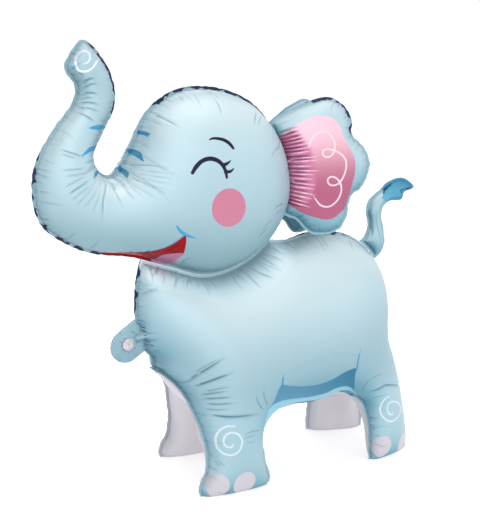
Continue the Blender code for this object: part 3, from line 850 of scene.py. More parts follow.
headCreaseItems = [
    ([(79.8, 83.6), (88, 79.5), (96.8, 77.3)], 1.5, 1.9),
    ([(80.5, 88.5), (90, 84.6), (98.6, 83.6)], 1.3, 1.2),
    ([(78.6, 93.6), (88, 92.6), (99.6, 93.9)], 1.4, 1.7),
    ([(77.6, 99), (86, 97.4), (95, 97.8)], 1.2, .8),
    ([(76.4, 102.6), (88, 102.2), (100, 104.6)], 1.3, 1.5),
    ([(75.4, 106.8), (88, 108), (100.4, 112)], 1.4, 1.0),
    ([(75, 112), (84, 115), (96, 122.9)], 1.4, 1.6),
    ([(58.4, 148.8), (70, 152.4), (80.7, 155.9), (87.5, 160.2)], 1.5, 1.3),
    ([(59.6, 153.4), (70, 156.6), (78, 158.6)], 1.2, .7),
    ([(60.4, 170.3), (74, 169.4), (88, 167.2)], 1.4, .8),
    ([(61.2, 177.3), (76, 174.4), (92, 170.8)], 1.3, .8),
    ([(67.3, 195.2), (80, 186.6), (93.2, 176.4)], 1.5, 1.4),
    ([(63, 188), (76, 181), (88, 174.6)], 1.2, .7),
    ([(70, 202), (82, 192), (94, 181)], 1.2, .6),
    ([(75, 207), (85, 196), (95.5, 183)], 1.2, .6),
    ([(103.9, 178.2), (103.4, 199.6), (101.3, 224.6)], 1.7, 1.3),
    ([(83, 209), (91, 199), (98.4, 184)], 1.2, .5),
    ([(92, 214), (96.6, 202), (101, 186)], 1.2, .5),
    ([(110, 180), (116, 193), (124, 208)], 1.4, .8),
    ([(116, 178), (126, 190), (137, 203)], 1.3, .7),
    ([(120, 177), (134, 190), (147, 200)], 1.2, .5),
    ([(120, 164.8), (145, 164.8), (158, 166.2), (173.6, 168.4)], 1.4, 1.3),
    ([(132, 170), (150, 171), (176, 174)], 1.1, .5),
    ([(132, 173), (152, 175.6), (178, 179.6)], 1.1, .5),
    ([(132, 176), (154, 180.6), (177, 185)], 1.1, .5),
    ([(132, 178.6), (152, 185.0), (174, 192)], 1.1, .5),
    ([(125.4, 176.4), (136, 180), (148.6, 185.4), (169.1, 194.6)], 1.4, 1.5),
    ([(128, 182), (142, 190), (160, 200)], 1.1, .5),
    ([(146.8, 113.9), (154, 115.0), (161, 117.5), (171, 122.4), (180.7, 128.6)], 1.7, 1.7),
    ([(150, 110), (160, 109.5)], 1.2, .6),
    ([(173.6, 94.3), (180, 97.6), (185.2, 102.3)], 1.5, .9),
    ([(212.9, 97), (218, 104), (220.9, 112), (221.4, 117)], 1.7, .8),
    ([(256, 111), (254.6, 119), (254, 127)], 1.8, 1.0),
    ([(261, 114), (258.6, 121), (257, 128)], 1.5, .8),
    ([(284, 203), (277, 207), (272.6, 213)], 1.4, 1.0),
    ([(283, 208.6), (277, 213), (274, 218)], 1.3, .8),
    ([(268, 227), (263, 233), (258, 239)], 1.4, 1.0),
    ([(272, 219), (266, 226), (262, 231)], 1.2, .8),
    ([(191.4, 257.7), (184, 260.6), (175.4, 265.7)], 1.4, 1.1),
    ([(280, 146), (275, 151), (270.6, 160)], 2.0, .9),
    ([(84, 76.8), (80, 73.6), (74, 72.6)], 1.6, 1.0),
    ([(70.6, 53.6), (76, 54.6), (79.6, 53)], 1.4, 1.0),
    ([(66.6, 64.6), (73, 68.4), (75.6, 75.4)], 2.0, 1.4),
    ([(163, 251.8), (174, 247.4), (184.6, 242.2)], 1.2, 1.1),
    ([(169, 253), (177, 250.4), (185, 246.8)], 1.1, .8),
]

headSpans = [
    ((-258, 596), (-310, 648), 0.011, 0.010, 0.0008),
    ((-21, 544), (-258, 596), 0.017, 0.016, 0.0012),
    ((-95, 344), (-21, 544), 0.015, 0.018, 0.0010),
    ((-345, 384), (-95, 344), 0.016, 0.016, 0.0009),
    ((-437, 527), (-345, 384), 0.010, 0.013, 0.0010),
    ((-387, 665), (-437, 527), 0.010, 0.011, 0.0009),
    ((-310, 648), (-387, 665), 0.012, 0.010, 0.0007),
    ((-312, 507), (-310, 648), 0.010, 0.013, 0.0008),
    ((-286, 545), (-343, 534), 0.007, 0.035, 0.0006),
]


def makeHead():
    target = targetFor("head_balloon")
    inks = layInks(headPrint, target)
    pulled = {side: seamCreases(headEdge, headSpans, 5 + side) for side in (-1, 1)}
    drawn = photoCreases(headCreaseItems, target)
    seam = seamWave(headEdge, pulled[-1], 3, [(neckFront, neckBack)])
    # painted shadow along these stretches of the rim
    dark = edgeStretches(headEdge, [((-30, 556), (-250, 602)), ((-312, 590), (-345, 700)),
                                    ((-432, 540), (-330, 386))])

    def fields(flat, away):
        # painted shade, darker towards the top of the head
        belt = ease((flat[:, 1] - headShape["beltFrom"]) / headShape["beltOver"])
        return {"rimShadow": darkEdge(flat, away, headEdge, dark, 21), "belt": headShape["belt"] * belt}

    material = foilShader("head_foil", "foil", {
        "inkBlue": "blue", "inkCheek": "cheek", "inkRed": "red", "inkTongue": "tongue", "inkDark": "dark",
        "inkWhite": "trunkWhite", "rimShadow": "navy"}, "headUnderShade", metal=("inkRed", "inkDark", "rimShadow"))
    creases = {side: pulled[side] + drawn for side in (-1, 1)}
    head = twoSided("head_foil", headEdge, headShape, inks, creases, seam, material, fields)
    finishPiece(head, "head_balloon")


makeCamera()
makeHead()


# Body: side sheets with the print, and the pearl gusset between the legs

bodyShape = {"step": 0.0026, "bulge": 0.56, "legBulge": 0.50, "bellyBulge": 0.16, "spread": 0.094,
             "turn": 0.31, "heel": 100, "gusset": 0.190, "legTop": 150, "bellyFrom": 85, "bellyOver": 45,
             "front": 0.020, "rear": -0.010, "fade": 0.060, "bandFrom": -90, "bandOver": 0.170,
             "neckTo": 0.040, "neckOver": 0.026, "beltFrom": 0.110, "beltOver": 0.060, "beltTo": 0.305,
             "beltFade": 0.120, "tabAway": 0.014}


def beside(outline, start, end):
    # the points a gap outside a stretch of another balloon's outline
    first, last = closest(outline, start), closest(outline, end)
    count = len(outline)
    ahead = (last - first) % count
    steps = range(ahead + 1) if ahead <= count / 2 else range(0, -(count - ahead) - 1, -1)
    moved = outline + gap * outward(outline)
    return np.array([moved[(first + k) % count] for k in steps])


neckEdge = beside(headEdge, placed(neckBack), placed(neckFront))


def bodyOutlines():
    # the body's outline with its tab and without it, and how many points the legs' edge has
    step = bodyShape["step"]
    legRuns = [stretch(placed(points), step) for points in legs]
    backRun = stretch(np.vstack([placed(back), neckEdge[:1]]), step)
    chestRun = stretch(np.vstack([neckEdge[-1:], placed(chest)]), step)
    foot = stretch(placed(chestFoot), step)
    turns = np.radians(np.linspace(-90, 90, round(np.pi * tab["width"] / 2 / step) + 1))
    end = tabRoot + (tab["reach"] + tab["margin"]) * holeWay
    arc = np.array([end + tab["width"] / 2 * (np.cos(t) * holeWay + np.sin(t) * holeAcross) for t in turns])
    tongue = np.vstack([part[:-1] for part in (
        np.linspace(chestRun[-1], arc[0], 5), arc, np.linspace(arc[-1], foot[0], 5))] + [foot[:1]])
    lower = np.vstack([part[:-1] for part in legRuns] + [legRuns[-1][-1:]])
    start = [lower[:-1], backRun[:-1], neckEdge[:-1]]
    withTab = np.vstack([*start, chestRun[:-1], tongue[:-1], foot[:-1]])
    return withTab, np.vstack([*start, chestRun, foot[:-1]]), len(lower)


bodyEdge, bodyPlain, lowerCount = bodyOutlines()


def lowerSide(x, z):
    # how far the side sheet's lower edge stands out
    behind = np.maximum(0.0, x - shiftX - bodyShape["heel"] * scale)
    reach = bodyShape["spread"] - bodyShape["turn"] * behind
    return reach * np.sqrt(np.clip(1.0 - (np.maximum(z, 0.0) / bodyShape["gusset"]) ** 2, 0.0, 1.0))


bodyPrint = {
    "inkBlue": [
        [(281.4, 388, .9), (282.4, 384.4, .9), (283.2, 379, .7), (283.9, 373.4, .3)],
        [(356.2, 371, .9), (357.4, 364, .9), (359, 356.6, .7), (361.2, 348.6, .3)],
    ],
    "inkNail": [
        (218.2, 486.6, 8.2, 11.4, -6),
        (244.8, 483.4, 9.4, 11.2, -6),
        (382.8, 446.8, 8.4, 10.8, -8),
        (402.6, 441.6, 7.8, 10.0, -6),
    ],
    "inkWhite": [
        [(235, 426.2, .6), (227.6, 426.4, .72), (220.4, 429.4, .8), (216.2, 435.4, .8), (215.6, 442.6, .8),
         (218.6, 449.6, .8), (224.6, 454, .8), (231.4, 454.8, .8), (237.8, 451.8, .8), (241.6, 446.2, .8),
         (242, 440, .8), (239, 435, .8), (233.4, 432.6, .8), (227.8, 433.6, .8), (224, 437.6, .8),
         (223.6, 443, .8), (226.6, 446.8, .72), (231, 447, .8), (233.8, 443.6, .5)],
        [(389.6, 396.4, .6), (385, 398.4, .72), (381.4, 402.6, .8), (380, 408.4, .8), (381.4, 414.6, .8),
         (385.4, 419.6, .8), (391, 421, .8), (396.4, 418.6, .8), (399.8, 413, .8), (400, 406.6, .8),
         (397, 402.2, .72), (392.4, 401.4, .72), (388.4, 403.8, .72), (386.8, 408.2, .72), (388, 412.8, .8),
         (391.4, 414.2, .7), (394.2, 411.2, .4)],
    ],
}

# the belly band and the pale rim below it: upper edges in pixels, lower ones as outlines
bandTop = [
    (268.6, 411), (272, 404), (276, 396.6), (281.2, 385.4), (290, 385.8), (300, 386.2), (311, 385.8),
    (322, 383.4), (333.6, 378.6), (344, 372.8), (354.2, 368.2), (355.8, 369.6), (354.9, 377),
    (353.9, 384), (354.6, 389),
]
bandLow = [
    (84, 110), (70, 116), (52, 120), (5, 112), (-40, 114), (-74, 110), (-92, 96),
]
rimTop = [
    (263.6, 428), (266.4, 415), (271, 406.4), (281.7, 400.6), (295, 398.2), (309, 396.6), (324.5, 393),
    (335, 388.2), (344, 386.2), (350.4, 387.6), (354.6, 391.4), (358.6, 397.6), (361.4, 406),
    (362.6, 416),
]
rimLow = [
    (112, 62), (108, 86), (101, 100), (84, 114), (70, 119), (52, 125), (5, 117), (-40, 119), (-76, 115),
    (-96, 101), (-102, 80), (-102, 60),
]
tickPlaces = [
    (143.2, 327.6), (144.4, 331.4), (145.4, 335.4), (147.0, 339.2), (149.6, 342.6), (152.6, 345.8),
]


def bodyInks(target):
    inks = {}
    for key, drawn, low in (("inkBand", bandTop, bandLow), ("inkRim", rimTop, rimLow)):
        inks[key] = [loop(np.vstack([onSheet(drawn, target), placed(low)]))]
    ticks = []
    for k, (x, y) in enumerate(tickPlaces):
        long = 1.3 if k % 2 else 1.9
        ticks.append([(x - long, y - .5, .45), (x + long, y + .5, .45)])
    return {**inks, **layInks({**bodyPrint, "inkTick": ticks}, target)}


bodyCreaseItems = [
    ([(160.2, 265.8), (155.4, 271), (150.4, 276)], 1.4, 1.2),
    ([(188.4, 275.6), (187.6, 282), (186.4, 289.2)], 1.5, 1.0),
    ([(178, 273), (175.6, 281), (172.6, 292)], 1.5, .7),
    ([(196, 276), (198, 284), (199, 291)], 1.4, .6),
    ([(205, 275.6), (209, 285), (211.6, 294)], 1.4, .6),
    ([(228, 272), (236.6, 282), (244.8, 291.1)], 1.4, .9),
    ([(238, 266), (250, 277), (262, 290)], 1.5, .9),
    ([(244, 262), (256, 270.6), (275.9, 279.5)], 1.5, 1.1),
    ([(250, 258), (262, 263), (284, 272)], 1.4, .8),
    ([(256, 252), (268, 254.6), (286, 262)], 1.4, .8),
    ([(262, 247), (272, 249), (290, 255)], 1.3, .6),
    ([(276, 240.6), (290, 244.6), (302, 251)], 1.6, .8),
    ([(186.4, 380.4), (197, 374), (210, 367), (223.4, 358.4), (230, 355)], 1.6, 2.3),
    ([(190, 375.4), (204, 367), (222, 357)], 1.3, .7),
    ([(190.6, 386.6), (205, 382.4), (221, 377), (238.4, 370.9)], 1.6, 2.3),
    ([(203, 391), (217, 389.2), (233, 386)], 1.3, .7),
    ([(198, 394.3), (214, 393), (231.2, 390.4)], 1.4, .9),
    ([(199, 398.1), (216, 398), (236, 396.8)], 1.5, 1.1),
    ([(203.9, 403), (218, 404), (238, 402.6)], 1.4, 1.0),
    ([(202, 407.6), (216, 409.6), (232, 408.8)], 1.4, .8),
    ([(203.9, 412.7), (214, 415), (227.3, 416.8), (246.7, 416.2), (265.2, 412.3)], 1.8, 3.0),
    ([(243.8, 435.1), (253, 431.6), (262.3, 429.2)], 1.2, .7),
    ([(243, 439.6), (250, 436.6), (256, 434.6)], 1.1, .6),
    ([(246, 443.6), (251, 442), (256, 441.6)], 1.1, .5),
    ([(209.8, 457.4), (216, 462), (221.4, 468.6)], 1.2, .9),
    ([(213.6, 457), (220, 462), (226, 468)], 1.1, .7),
    ([(208, 463), (212.6, 466.6), (216.6, 471)], 1.1, .7),
    ([(361.8, 393.2), (370, 391.6), (379, 388.6), (389, 384.8), (398.3, 380.2)], 1.8, 2.6),
    ([(366, 399), (376, 397), (388, 393)], 1.2, .7),
    ([(364.6, 403.6), (372, 402.6), (378, 401)], 1.2, .6),
    ([(369, 378.6), (376, 376), (384, 371.6)], 1.2, .5),
    ([(264, 411), (258, 402), (256.6, 392)], 1.6, .8),
    ([(268, 407), (264, 396), (264.6, 386)], 1.4, .7),
    ([(360, 392), (364.6, 384), (372, 376)], 1.4, .7),
    ([(217, 490), (222, 494), (231.6, 489), (232.6, 482)], 1.2, .6),
    ([(138, 318), (142, 321), (148, 322)], 1.2, .8),
    ([(130, 330), (137, 334), (146, 335.6)], 1.2, .8),
    ([(144, 349), (149, 346), (156, 345.6)], 1.2, .8),
]

bodySpans = [
    ((-254, 190), (-213, -8), 0.013, 0.014, 0.0008),
    ((-200, -10), (-104, -10), 0.022, 0.008, 0.0005),
    ((-92, -6), (106, 12), 0.010, 0.013, 0.0009),
    ((120, -10), (196, -10), 0.022, 0.008, 0.0005),
    ((206, -6), (188, 190), 0.016, 0.012, 0.0007),
    ((188, 190), (145, 357), 0.020, 0.016, 0.0008),
    ((145, 357), (-8, 376), 0.020, 0.020, 0.0010),
    ((-42, 380), (-270, 369), 0.015, 0.020, 0.0009),
    ((-277, 345), (-281, 275), 0.010, 0.012, 0.0009),
    ((-266, 220), (-254, 190), 0.009, 0.012, 0.0009),
]


def stepRightLegs(points):
    x, y, z = points[:, 0] - shiftX, points[:, 1], points[:, 2]
    spread, front, rear = (bodyShape[key] for key in ("spread", "front", "rear"))
    along = ease((x + spread) / (2 * spread))
    share = ease(y / (spread / 2)) * ease((bodyShape["gusset"] - z) / bodyShape["fade"])
    points[:, 0] += (front + (rear - front) * along) * share
    return points


def sideSheet(inks, folds):
    # the flat side sheet with its tab and hole, and how far it stands out
    channelEnd = tab["reach"] - tab["hole"] - seamWidth / 2
    lines = inkEdges(inks) + creaseLines(folds)
    lines.append([tabRoot + way * holeWay + side * holeAcross for way in np.arange(-0.018, channelEnd, 0.0015)
                  for side in np.arange(-0.5, 0.51, 0.125) * tab["channel"]])
    flat, triangles = fill(bodyEdge, bodyShape["step"], bodyPlain, lines, (tabHole, tab["hole"]))
    offset = flat - tabRoot
    way, side = offset @ holeWay, np.abs(offset @ holeAcross)
    channel = (way > -0.02) & (way < channelEnd - 0.002) & (side < 0.4 * tab["channel"])
    sealed = (~inside(flat, bodyPlain) | (nearest(flat, bodyPlain)[0] < sealedWidth)) & ~channel
    middle = relax(flat, triangles, sealed, lowerSide(*flat.T))
    low = np.clip(1.0 - flat[:, 1] / (bodyShape["legTop"] * scale), 0.0, 1.0)
    bulge = bodyShape["bulge"] + (bodyShape["legBulge"] - bodyShape["bulge"]) * low
    return flat, triangles, middle + seamThickness / 2 + bulge * puff(flat, triangles, sealed)


def gussetSheet():
    # the left half of the gusset, from the legs' edge to its fold in the middle plane
    lower = bodyEdge[:lowerCount]
    fold = stretch(np.array([lower[-1], lower[0]]), 2 * bodyShape["step"])[1:-1]
    outline = np.vstack([lower, fold])
    flat, triangles = fill(outline, 1.6 * bodyShape["step"])
    onFold = np.zeros(len(flat), bool)
    onFold[[0, *range(len(lower) - 1, len(outline))]] = True
    away = nearest(flat, lower, closed=False)[0]
    sealed = away < sealedWidth
    innerSide = np.maximum(lowerSide(*flat.T) - seamThickness / 2, 0.0)
    innerSide[onFold] = 0.0
    side = relax(flat, triangles, sealed | onFold, innerSide)
    x, z = (relax(flat, triangles, sealed, flat[:, axis]) for axis in (0, 1))
    points = np.stack([x, -side, z], axis=1)
    normals = cornerNormals(points, triangles)
    normals *= np.sign(normals[:, 1].sum())
    high = ease((z - bodyShape["bellyFrom"] * scale) / (bodyShape["bellyOver"] * scale))
    bulge = bodyShape["legBulge"] + (bodyShape["bellyBulge"] - bodyShape["legBulge"]) * high
    rise = bulge * puff(flat, triangles, sealed)
    folds = foldNoise(flat, softFolds["size"], 31) * ease((away - seamWidth) / softFolds["gussetOver"])
    rise += softFolds["gussetDeep"] * folds
    points += normals * rise[:, None]
    points[onFold, 1] = 0.0
    return flat, points, triangles[:, ::-1], onFold


def flattenSoles(mesh):
    shape = bmesh.new()
    shape.from_mesh(mesh)
    everything = [*shape.verts, *shape.edges, *shape.faces]
    bmesh.ops.bisect_plane(shape, geom=everything, dist=1e-7, plane_co=(0, 0, 0), plane_no=(0, 0, -1),
                           clear_outer=True)
    cut = [edge for edge in shape.edges if edge.is_boundary and all(abs(c.co.z) < 1e-6 for c in edge.verts)]
    for edge in cut:
        for corner in edge.verts:
            corner.co.z = 0.0
    made = bmesh.ops.holes_fill(shape, edges=cut, sides=0)["faces"]
    made = bmesh.ops.triangulate(shape, faces=made)["faces"]
    bmesh.ops.recalc_face_normals(shape, faces=shape.faces)
    for face in made:
        face.material_index = 1
    shape.to_mesh(mesh)
    shape.free()
    mesh.set_sharp_from_angle(angle=np.radians(sharpAngle))


tabFolds = {"border": 0.42, "borderWide": 0.0013, "borderDeep": 0.0007, "count": 11, "turn": 30, "stray": 8,
            "wide": 0.0010, "deep": 0.00045}


def tabCreases():
    # the borders of the tab's inflated channel, and short folds round its hole
    length = tab["reach"] - tab["hole"] - 0.001
    found = []
    for side in (-tabFolds["border"], tabFolds["border"]):
        border = tabRoot + side * tab["channel"] * holeAcross
        found.append(crease([border + way * holeWay for way in (-0.014, length / 2, length)],
                            tabFolds["borderWide"], tabFolds["borderDeep"], 0.3, 0.1))
    chance = np.random.default_rng(15)
    for k in range(tabFolds["count"]):
        stray = chance.uniform(-tabFolds["stray"], tabFolds["stray"])
        way = np.radians(tab["angle"] + tabFolds["turn"] * (k - tabFolds["count"] // 2) + stray)
        ray = np.array([np.cos(way), np.sin(way)])
        near, far = tab["hole"] + 0.0008, tab["hole"] + chance.uniform(0.006, 0.011)
        ends = [tabHole + reach * ray for reach in (near, (near + far) / 2, far)]
        deep = tabFolds["deep"] * chance.uniform(0.6, 1.4)
        found.append(crease(ends, tabFolds["wide"], deep, 0.05, 0.6))
    return found


def bodyFaces(triangles, innerTriangles, n, m, onFold):
    # (faces, their materials) of left side, left inside, right side and right inside, and of the rims between
    # them; both insides share the points of the fold
    foldOwn = np.flatnonzero(onFold)
    index = np.arange(2 * (n + m))
    index[2 * n + m + foldOwn] = n + foldOwn
    faces = [tuple(t) for t in triangles]
    faces += [tuple(t) for t in innerTriangles + n]
    faces += [tuple(t) for t in triangles[:, ::-1] + n + m]
    faces += [tuple(index[list(t)]) for t in innerTriangles[:, ::-1] + 2 * n + m]
    kinds = ([0] * len(triangles) + [1] * len(innerTriangles)) * 2
    count, lower = len(bodyEdge), list(range(lowerCount))
    upper = [*lower[-1:], *range(lowerCount, count), 0]
    ring = list(range(count, count + tab["holePoints"]))
    leftInside = [int(index[n + k]) for k in lower]
    rightInside = [int(index[2 * n + m + k]) for k in lower]
    rims = ringFaces(upper, [n + m + k for k in upper], closed=False)
    rims += ringFaces(lower, leftInside, closed=False)
    turned = ringFaces([n + m + k for k in lower], rightInside, closed=False)
    turned += ringFaces(ring, [n + m + k for k in ring])
    rims += [face[::-1] for face in turned]
    rims += [(0, n + m, leftInside[0]), (lower[-1], leftInside[-1], n + m + lower[-1])]
    return faces + rims, kinds + [0] * len(rims)


def bodyFields(flat, inFlat, away, inks, leans, marks):
    def fourSheets(left, right, inner):
        inner = inner * np.ones(len(inFlat))
        return np.concatenate([left, inner, right, inner])

    fields = {}
    for key, group in inks.items():
        values = inkField(flat, group)
        fields[key] = fourSheets(values, values, printing["reach"])
    # painted shadow along these stretches of the rim
    dark = edgeStretches(bodyEdge, [((110, 375), (20, 380)), ((-272, 360), (-281, 290))])
    edge = darkEdge(flat, away, bodyEdge, dark, 77)
    fields["rimShadow"] = fourSheets(edge, edge, printing["reach"])
    shown = np.where(inside(flat, bodyPlain), away, bodyShape["tabAway"])
    fields["away"] = fourSheets(shown, shown, nearest(inFlat, bodyEdge[:lowerCount], closed=False)[0])
    fields["lean"] = fourSheets(*leans, 0.0)
    fields["crease"] = fourSheets(*marks, 0.0)
    behind = flat[:, 0] - placed((bodyShape["bandFrom"], 0))[0]
    # painted light on the body just under the head, where the head's overhang shades it
    below = nearest(flat, neckEdge, closed=False)[0]
    # painted shade on a belt round the middle of the body, fading out below and above
    belt = ease((flat[:, 1] - bodyShape["beltFrom"]) / bodyShape["beltOver"])
    belt *= ease((bodyShape["beltTo"] - flat[:, 1]) / bodyShape["beltFade"])
    underHeadLight = ease((bodyShape["neckTo"] - below) / bodyShape["neckOver"])
    shade = np.clip(behind / bodyShape["bandOver"], 0, 1)
    for key, values in (("shade", shade), ("underHeadLight", underHeadLight), ("belt", belt)):
        fields[key] = fourSheets(values, values, 0.0)
    return fields


def makeBody():
    target = targetFor("body_balloon")
    inks = bodyInks(target)
    drawn = photoCreases(bodyCreaseItems, target) + tabCreases()
    pulled = {side: seamCreases(bodyEdge, bodySpans, 40 + side) for side in (-1, 1)}
    flat, triangles, rise = sideSheet(inks, pulled[-1] + pulled[1] + drawn)
    inFlat, inner, innerTriangles, onFold = gussetSheet()
    seam = seamWave(bodyEdge, pulled[-1], 7, [(neckBack, neckFront)])
    away = nearest(flat, bodyEdge)[0]
    loose = ease((nearest(flat, bodyPlain)[0] - seamWidth) / softFolds["bodyOver"])
    creases = {side: pulled[side] + drawn for side in (-1, 1)}
    (left, right), leans, marks = sideSheets(flat, triangles, rise, away, loose, creases, seam, 51)
    innerMoves = rimShift(inFlat, seam)
    for moves in innerMoves:
        moves[onFold] = 0.0
    points = np.vstack([left, slide(inner, innerMoves), right, slide(inner * (1, -1, 1), innerMoves)])
    faces, kinds = bodyFaces(triangles, innerTriangles, len(flat), len(inFlat), onFold)
    fields = bodyFields(flat, inFlat, away, inks, leans, marks)
    printed = foilShader("body_foil", "foil", {
        "inkBand": ("band", "bandRear"), "inkBlue": "blue", "inkRim": "rim", "inkNail": "nail",
        "inkWhite": "white", "inkTick": "dark", "rimShadow": "navy"}, "foilUnderShade", True,
        ("inkTick", "rimShadow"))
    pearl = foilShader("gusset_foil", "pearl", {})
    body = pieceFrom("body_foil", stepRightLegs(points), faces, fields, [printed, pearl], kinds)
    flattenSoles(body.data)
    finishPiece(body, "body_balloon")


makeBody()


# Ears

earShape = {"step": 0.0022, "bulge": 0.38, "x": -0.040, "y": 0.011, "angle": 18.0, "shift": (0.006, -0.008),
            "darkFrom": {-1: 0.06, 1: 0.11}, "darkOver": 0.55}


def earFrame(side):
    backwards, up = earShape["shift"] if side > 0 else (0.0, 0.0)
    spot = Matrix.Translation(Vector((earShape["x"] + backwards + shiftX, side * earShape["y"], up)))
    return spot @ Matrix.Rotation(np.radians(side * earShape["angle"]), 4, "Z")


earPrintAndShade = {
    "inkPink": [
        [(272, 142), (278.8, 138.0), (283.5, 133.5), (289.9, 129), (299.8, 122.8), (312, 116.8),
         (323.2, 115.8), (333.4, 118.7), (339.6, 125.8), (343.6, 136), (348.2, 145.2), (353, 154),
         (355.4, 162.6), (354.9, 173.8), (350.8, 189.1), (346.7, 202.3), (339.6, 213.6), (329.3, 219.4),
         (315.1, 217.4), (300.8, 212.2), (285.5, 202.3), (272, 196)],
    ],
    # painted shade: deeper pink over the pleated root of the ear, beside the head
    "pleatShade": [
        [(268, 140), (280, 136), (291, 131), (298, 134), (305, 142.4), (310.6, 149), (312.6, 158),
         (314.6, 169), (315.8, 178), (313.6, 190), (310, 199.6), (302, 202.6), (292, 200), (283, 195),
         (268, 188)],
    ],
    "inkWhite": [
        [(308.9, 147.2, .5), (311.6, 139.6, .72), (316, 134.2, .8), (322.2, 131.4, .8), (329, 133.2, .8),
         (333.4, 139.1, .8), (335.2, 146, .8), (333.4, 153, .8), (329.4, 156.8, .72), (324.6, 156.4, .72),
         (322.6, 152.6, .72), (325.4, 149.2, .72), (331, 149.4, .72), (337, 151.6, .8), (342.6, 155.4, .8),
         (346, 161, .8), (346.2, 168, .8), (344, 175.4, .8), (340, 182, .8), (335, 185.2, .72),
         (329.8, 184.6, .72), (327.6, 180.6, .72), (330.2, 177.0, .72), (335.4, 177.6, .72), (340, 182.6, .8),
         (341.4, 190, .8), (339, 197.6, .8), (334.4, 203.4, .8), (328.3, 206.9, .72), (320.4, 205, .8),
         (313.5, 196.2, .4)],
        [(285, 161, .7), (291, 159.8, .6), (297, 158, .2)],
        [(286, 170, .7), (295, 170, .2)],
        [(286, 178, .7), (292, 180, .6), (297, 185, .2)],
        [(284, 203, .6), (291, 206, .2)],
    ],
}


pleats = {"count": 20, "x": 278, "y": 133, "apart": 3.5, "stray": 0.6, "middle": 170, "half": 42, "short": 17,
          "longer": 22, "level": 166, "fan": 0.010, "wide": 1.15, "deep": 2.6, "gleamBelow": 1.8}


def pleatLines():
    # the pleats along the ear's root: (first x, y, length, slope, depth) in pixels and millimetres
    chance = np.random.default_rng(61)
    found = []
    for k in range(pleats["count"]):
        y = pleats["y"] + pleats["apart"] * k + chance.uniform(-pleats["stray"], pleats["stray"])
        middle = max(1 - ((y - pleats["middle"]) / pleats["half"]) ** 2, 0)
        long = pleats["short"] + pleats["longer"] * middle * chance.uniform(0.8, 1.15)
        slope = (y - pleats["level"]) * pleats["fan"]
        found.append((pleats["x"], y, long, slope, pleats["deep"] * chance.uniform(0.6, 1.2)))
    return found


def pleatGleams():
    # painted highlights: a pale stroke on the ridge below each pleat
    return [[(x + share * long, y + pleats["gleamBelow"] + slope * share * long, wide)
             for share, wide in ((0.35, .15), (0.60, .5), (0.85, .45), (1.02, .15))]
            for x, y, long, slope, _ in pleatLines()[1:-1]]


def earPleats(target, local):
    items = [([(x + share * long, y + slope * share * long) for share in (0.0, 0.5, 1.0)],
              pleats["wide"], deep) for x, y, long, slope, deep in pleatLines()]
    return [{**item, "rise": 0.05} for item in photoCreases(items, target, local)]


earSpans = [
    ((0, 574), (108, 606), 0.012, 0.012, 0.0008),
    ((166, 500), (108, 606), 0.011, 0.013, 0.0009),
    ((97, 386), (166, 500), 0.012, 0.013, 0.0009),
    ((20, 424), (97, 386), 0.012, 0.012, 0.0008),
]


def makeEar(name, side, node):
    outline = loop(np.asarray(earOutline, float) * scale, earShape["step"])
    local = earFrame(-1)
    target = targetFor("ear_left")
    inks = layInks({**earPrintAndShade, "paintedGleam": pleatGleams()}, target, local)
    own = shiftX / scale
    spans = [((a[0] - own, a[1]), (b[0] - own, b[1]), *rest) for a, b, *rest in earSpans]
    pulled = seamCreases(outline, spans, 70 + side)
    seam = seamWave(outline, pulled, 9 + side)
    creases = {side: pulled + earPleats(target, local), -side: pulled}
    top, low = outline[:, 1].max(), outline[:, 1].min()

    def fields(flat, away):
        # painted light on the ear's upper part and painted shade lower down
        shade = np.clip((top - flat[:, 1]) / (top - low), 0, 1)
        # painted shadow along the upper stretches of the ear's rim
        dark = (outline[:, 0] > earShape["darkFrom"][side]) & (outline[:, 1] > earShape["darkOver"])
        return {"shade": ease((shade - 0.05) / 0.7),
                "rimShadow": darkEdge(flat, away, outline, dark.astype(float), 3)}

    # the ear's pink goes from painted light at the top to painted shade below
    material = foilShader(name + "_foil", "foil", {
        "inkPink": ("pale", "pink"), "pleatShade": "pleat", "paintedGleam": "gleam", "inkWhite": "earWhite",
        "rimShadow": "navy"}, "foilUnderShade", metal=("rimShadow",))
    ear = twoSided(name + "_foil", outline, earShape, inks, creases, seam, material, fields)
    sheets = len(ear.data.vertices) // 2
    hidden = slice(sheets, None) if side < 0 else slice(0, sheets)  # the side that faces the head is plain
    for key in inks:
        values = np.empty(2 * sheets, np.float32)
        ear.data.attributes[key].data.foreach_get("value", values)
        values[hidden] = printing["reach"]
        ear.data.attributes[key].data.foreach_set("value", values)
    ear.data.transform(earFrame(side))
    finishPiece(ear, node)


makeEar("left_ear", -1, "ear_left")
makeEar("right_ear", 1, "ear_right")


# Tail

tailShape = {"step": 0.0016, "bulge": 0.60, "tuftFrom": 150, "tuftOver": 0.105}

tailPrintAndShadow = {
    # painted shadow: dark strokes where the tuft's lobes overhang
    "tuftShadow": [
        [(402.4, 195.6, .4), (400.8, 190.4, .8), (405.6, 188.6, .9), (411.6, 187.9, .4)],
        [(382.2, 197, .3), (384.6, 189, .6), (390.6, 183.4, .3)],
    ],
    "inkTuft": [
        [(381.5, 197.5), (383.5, 191), (384, 184), (388, 180), (396, 176), (408, 174), (420, 178), (418, 192),
         (410, 200), (398, 202), (388, 202)],
    ],
    "inkWhite": [
        [(379.4, 197.2, .8), (381.6, 195.6, 1.0), (383.2, 194.4, .5)],
    ],
}

tailCreaseItems = [
    ([(369.6, 240), (371.7, 231.5), (370, 221.2), (368.4, 212), (371.7, 204), (378.6, 198.6)], 1.3, 1.6),
    ([(381, 244), (379.7, 233.8), (377.6, 224.6), (377, 215.5), (379.7, 207.4), (384, 203)], 1.3, 1.6),
    ([(385, 190), (389, 185.6), (396, 183.4)], 1.1, 0.9),
    ([(386, 196), (392, 192.6), (399, 190)], 1.1, 0.8),
]

tailSpans = [
    ((152, 366), (159, 394), 0.007, 0.006, 0.0005),
    ((197, 356), (192, 415), 0.007, 0.006, 0.0005),
    ((236, 462), (174, 440), 0.008, 0.008, 0.0006),
]


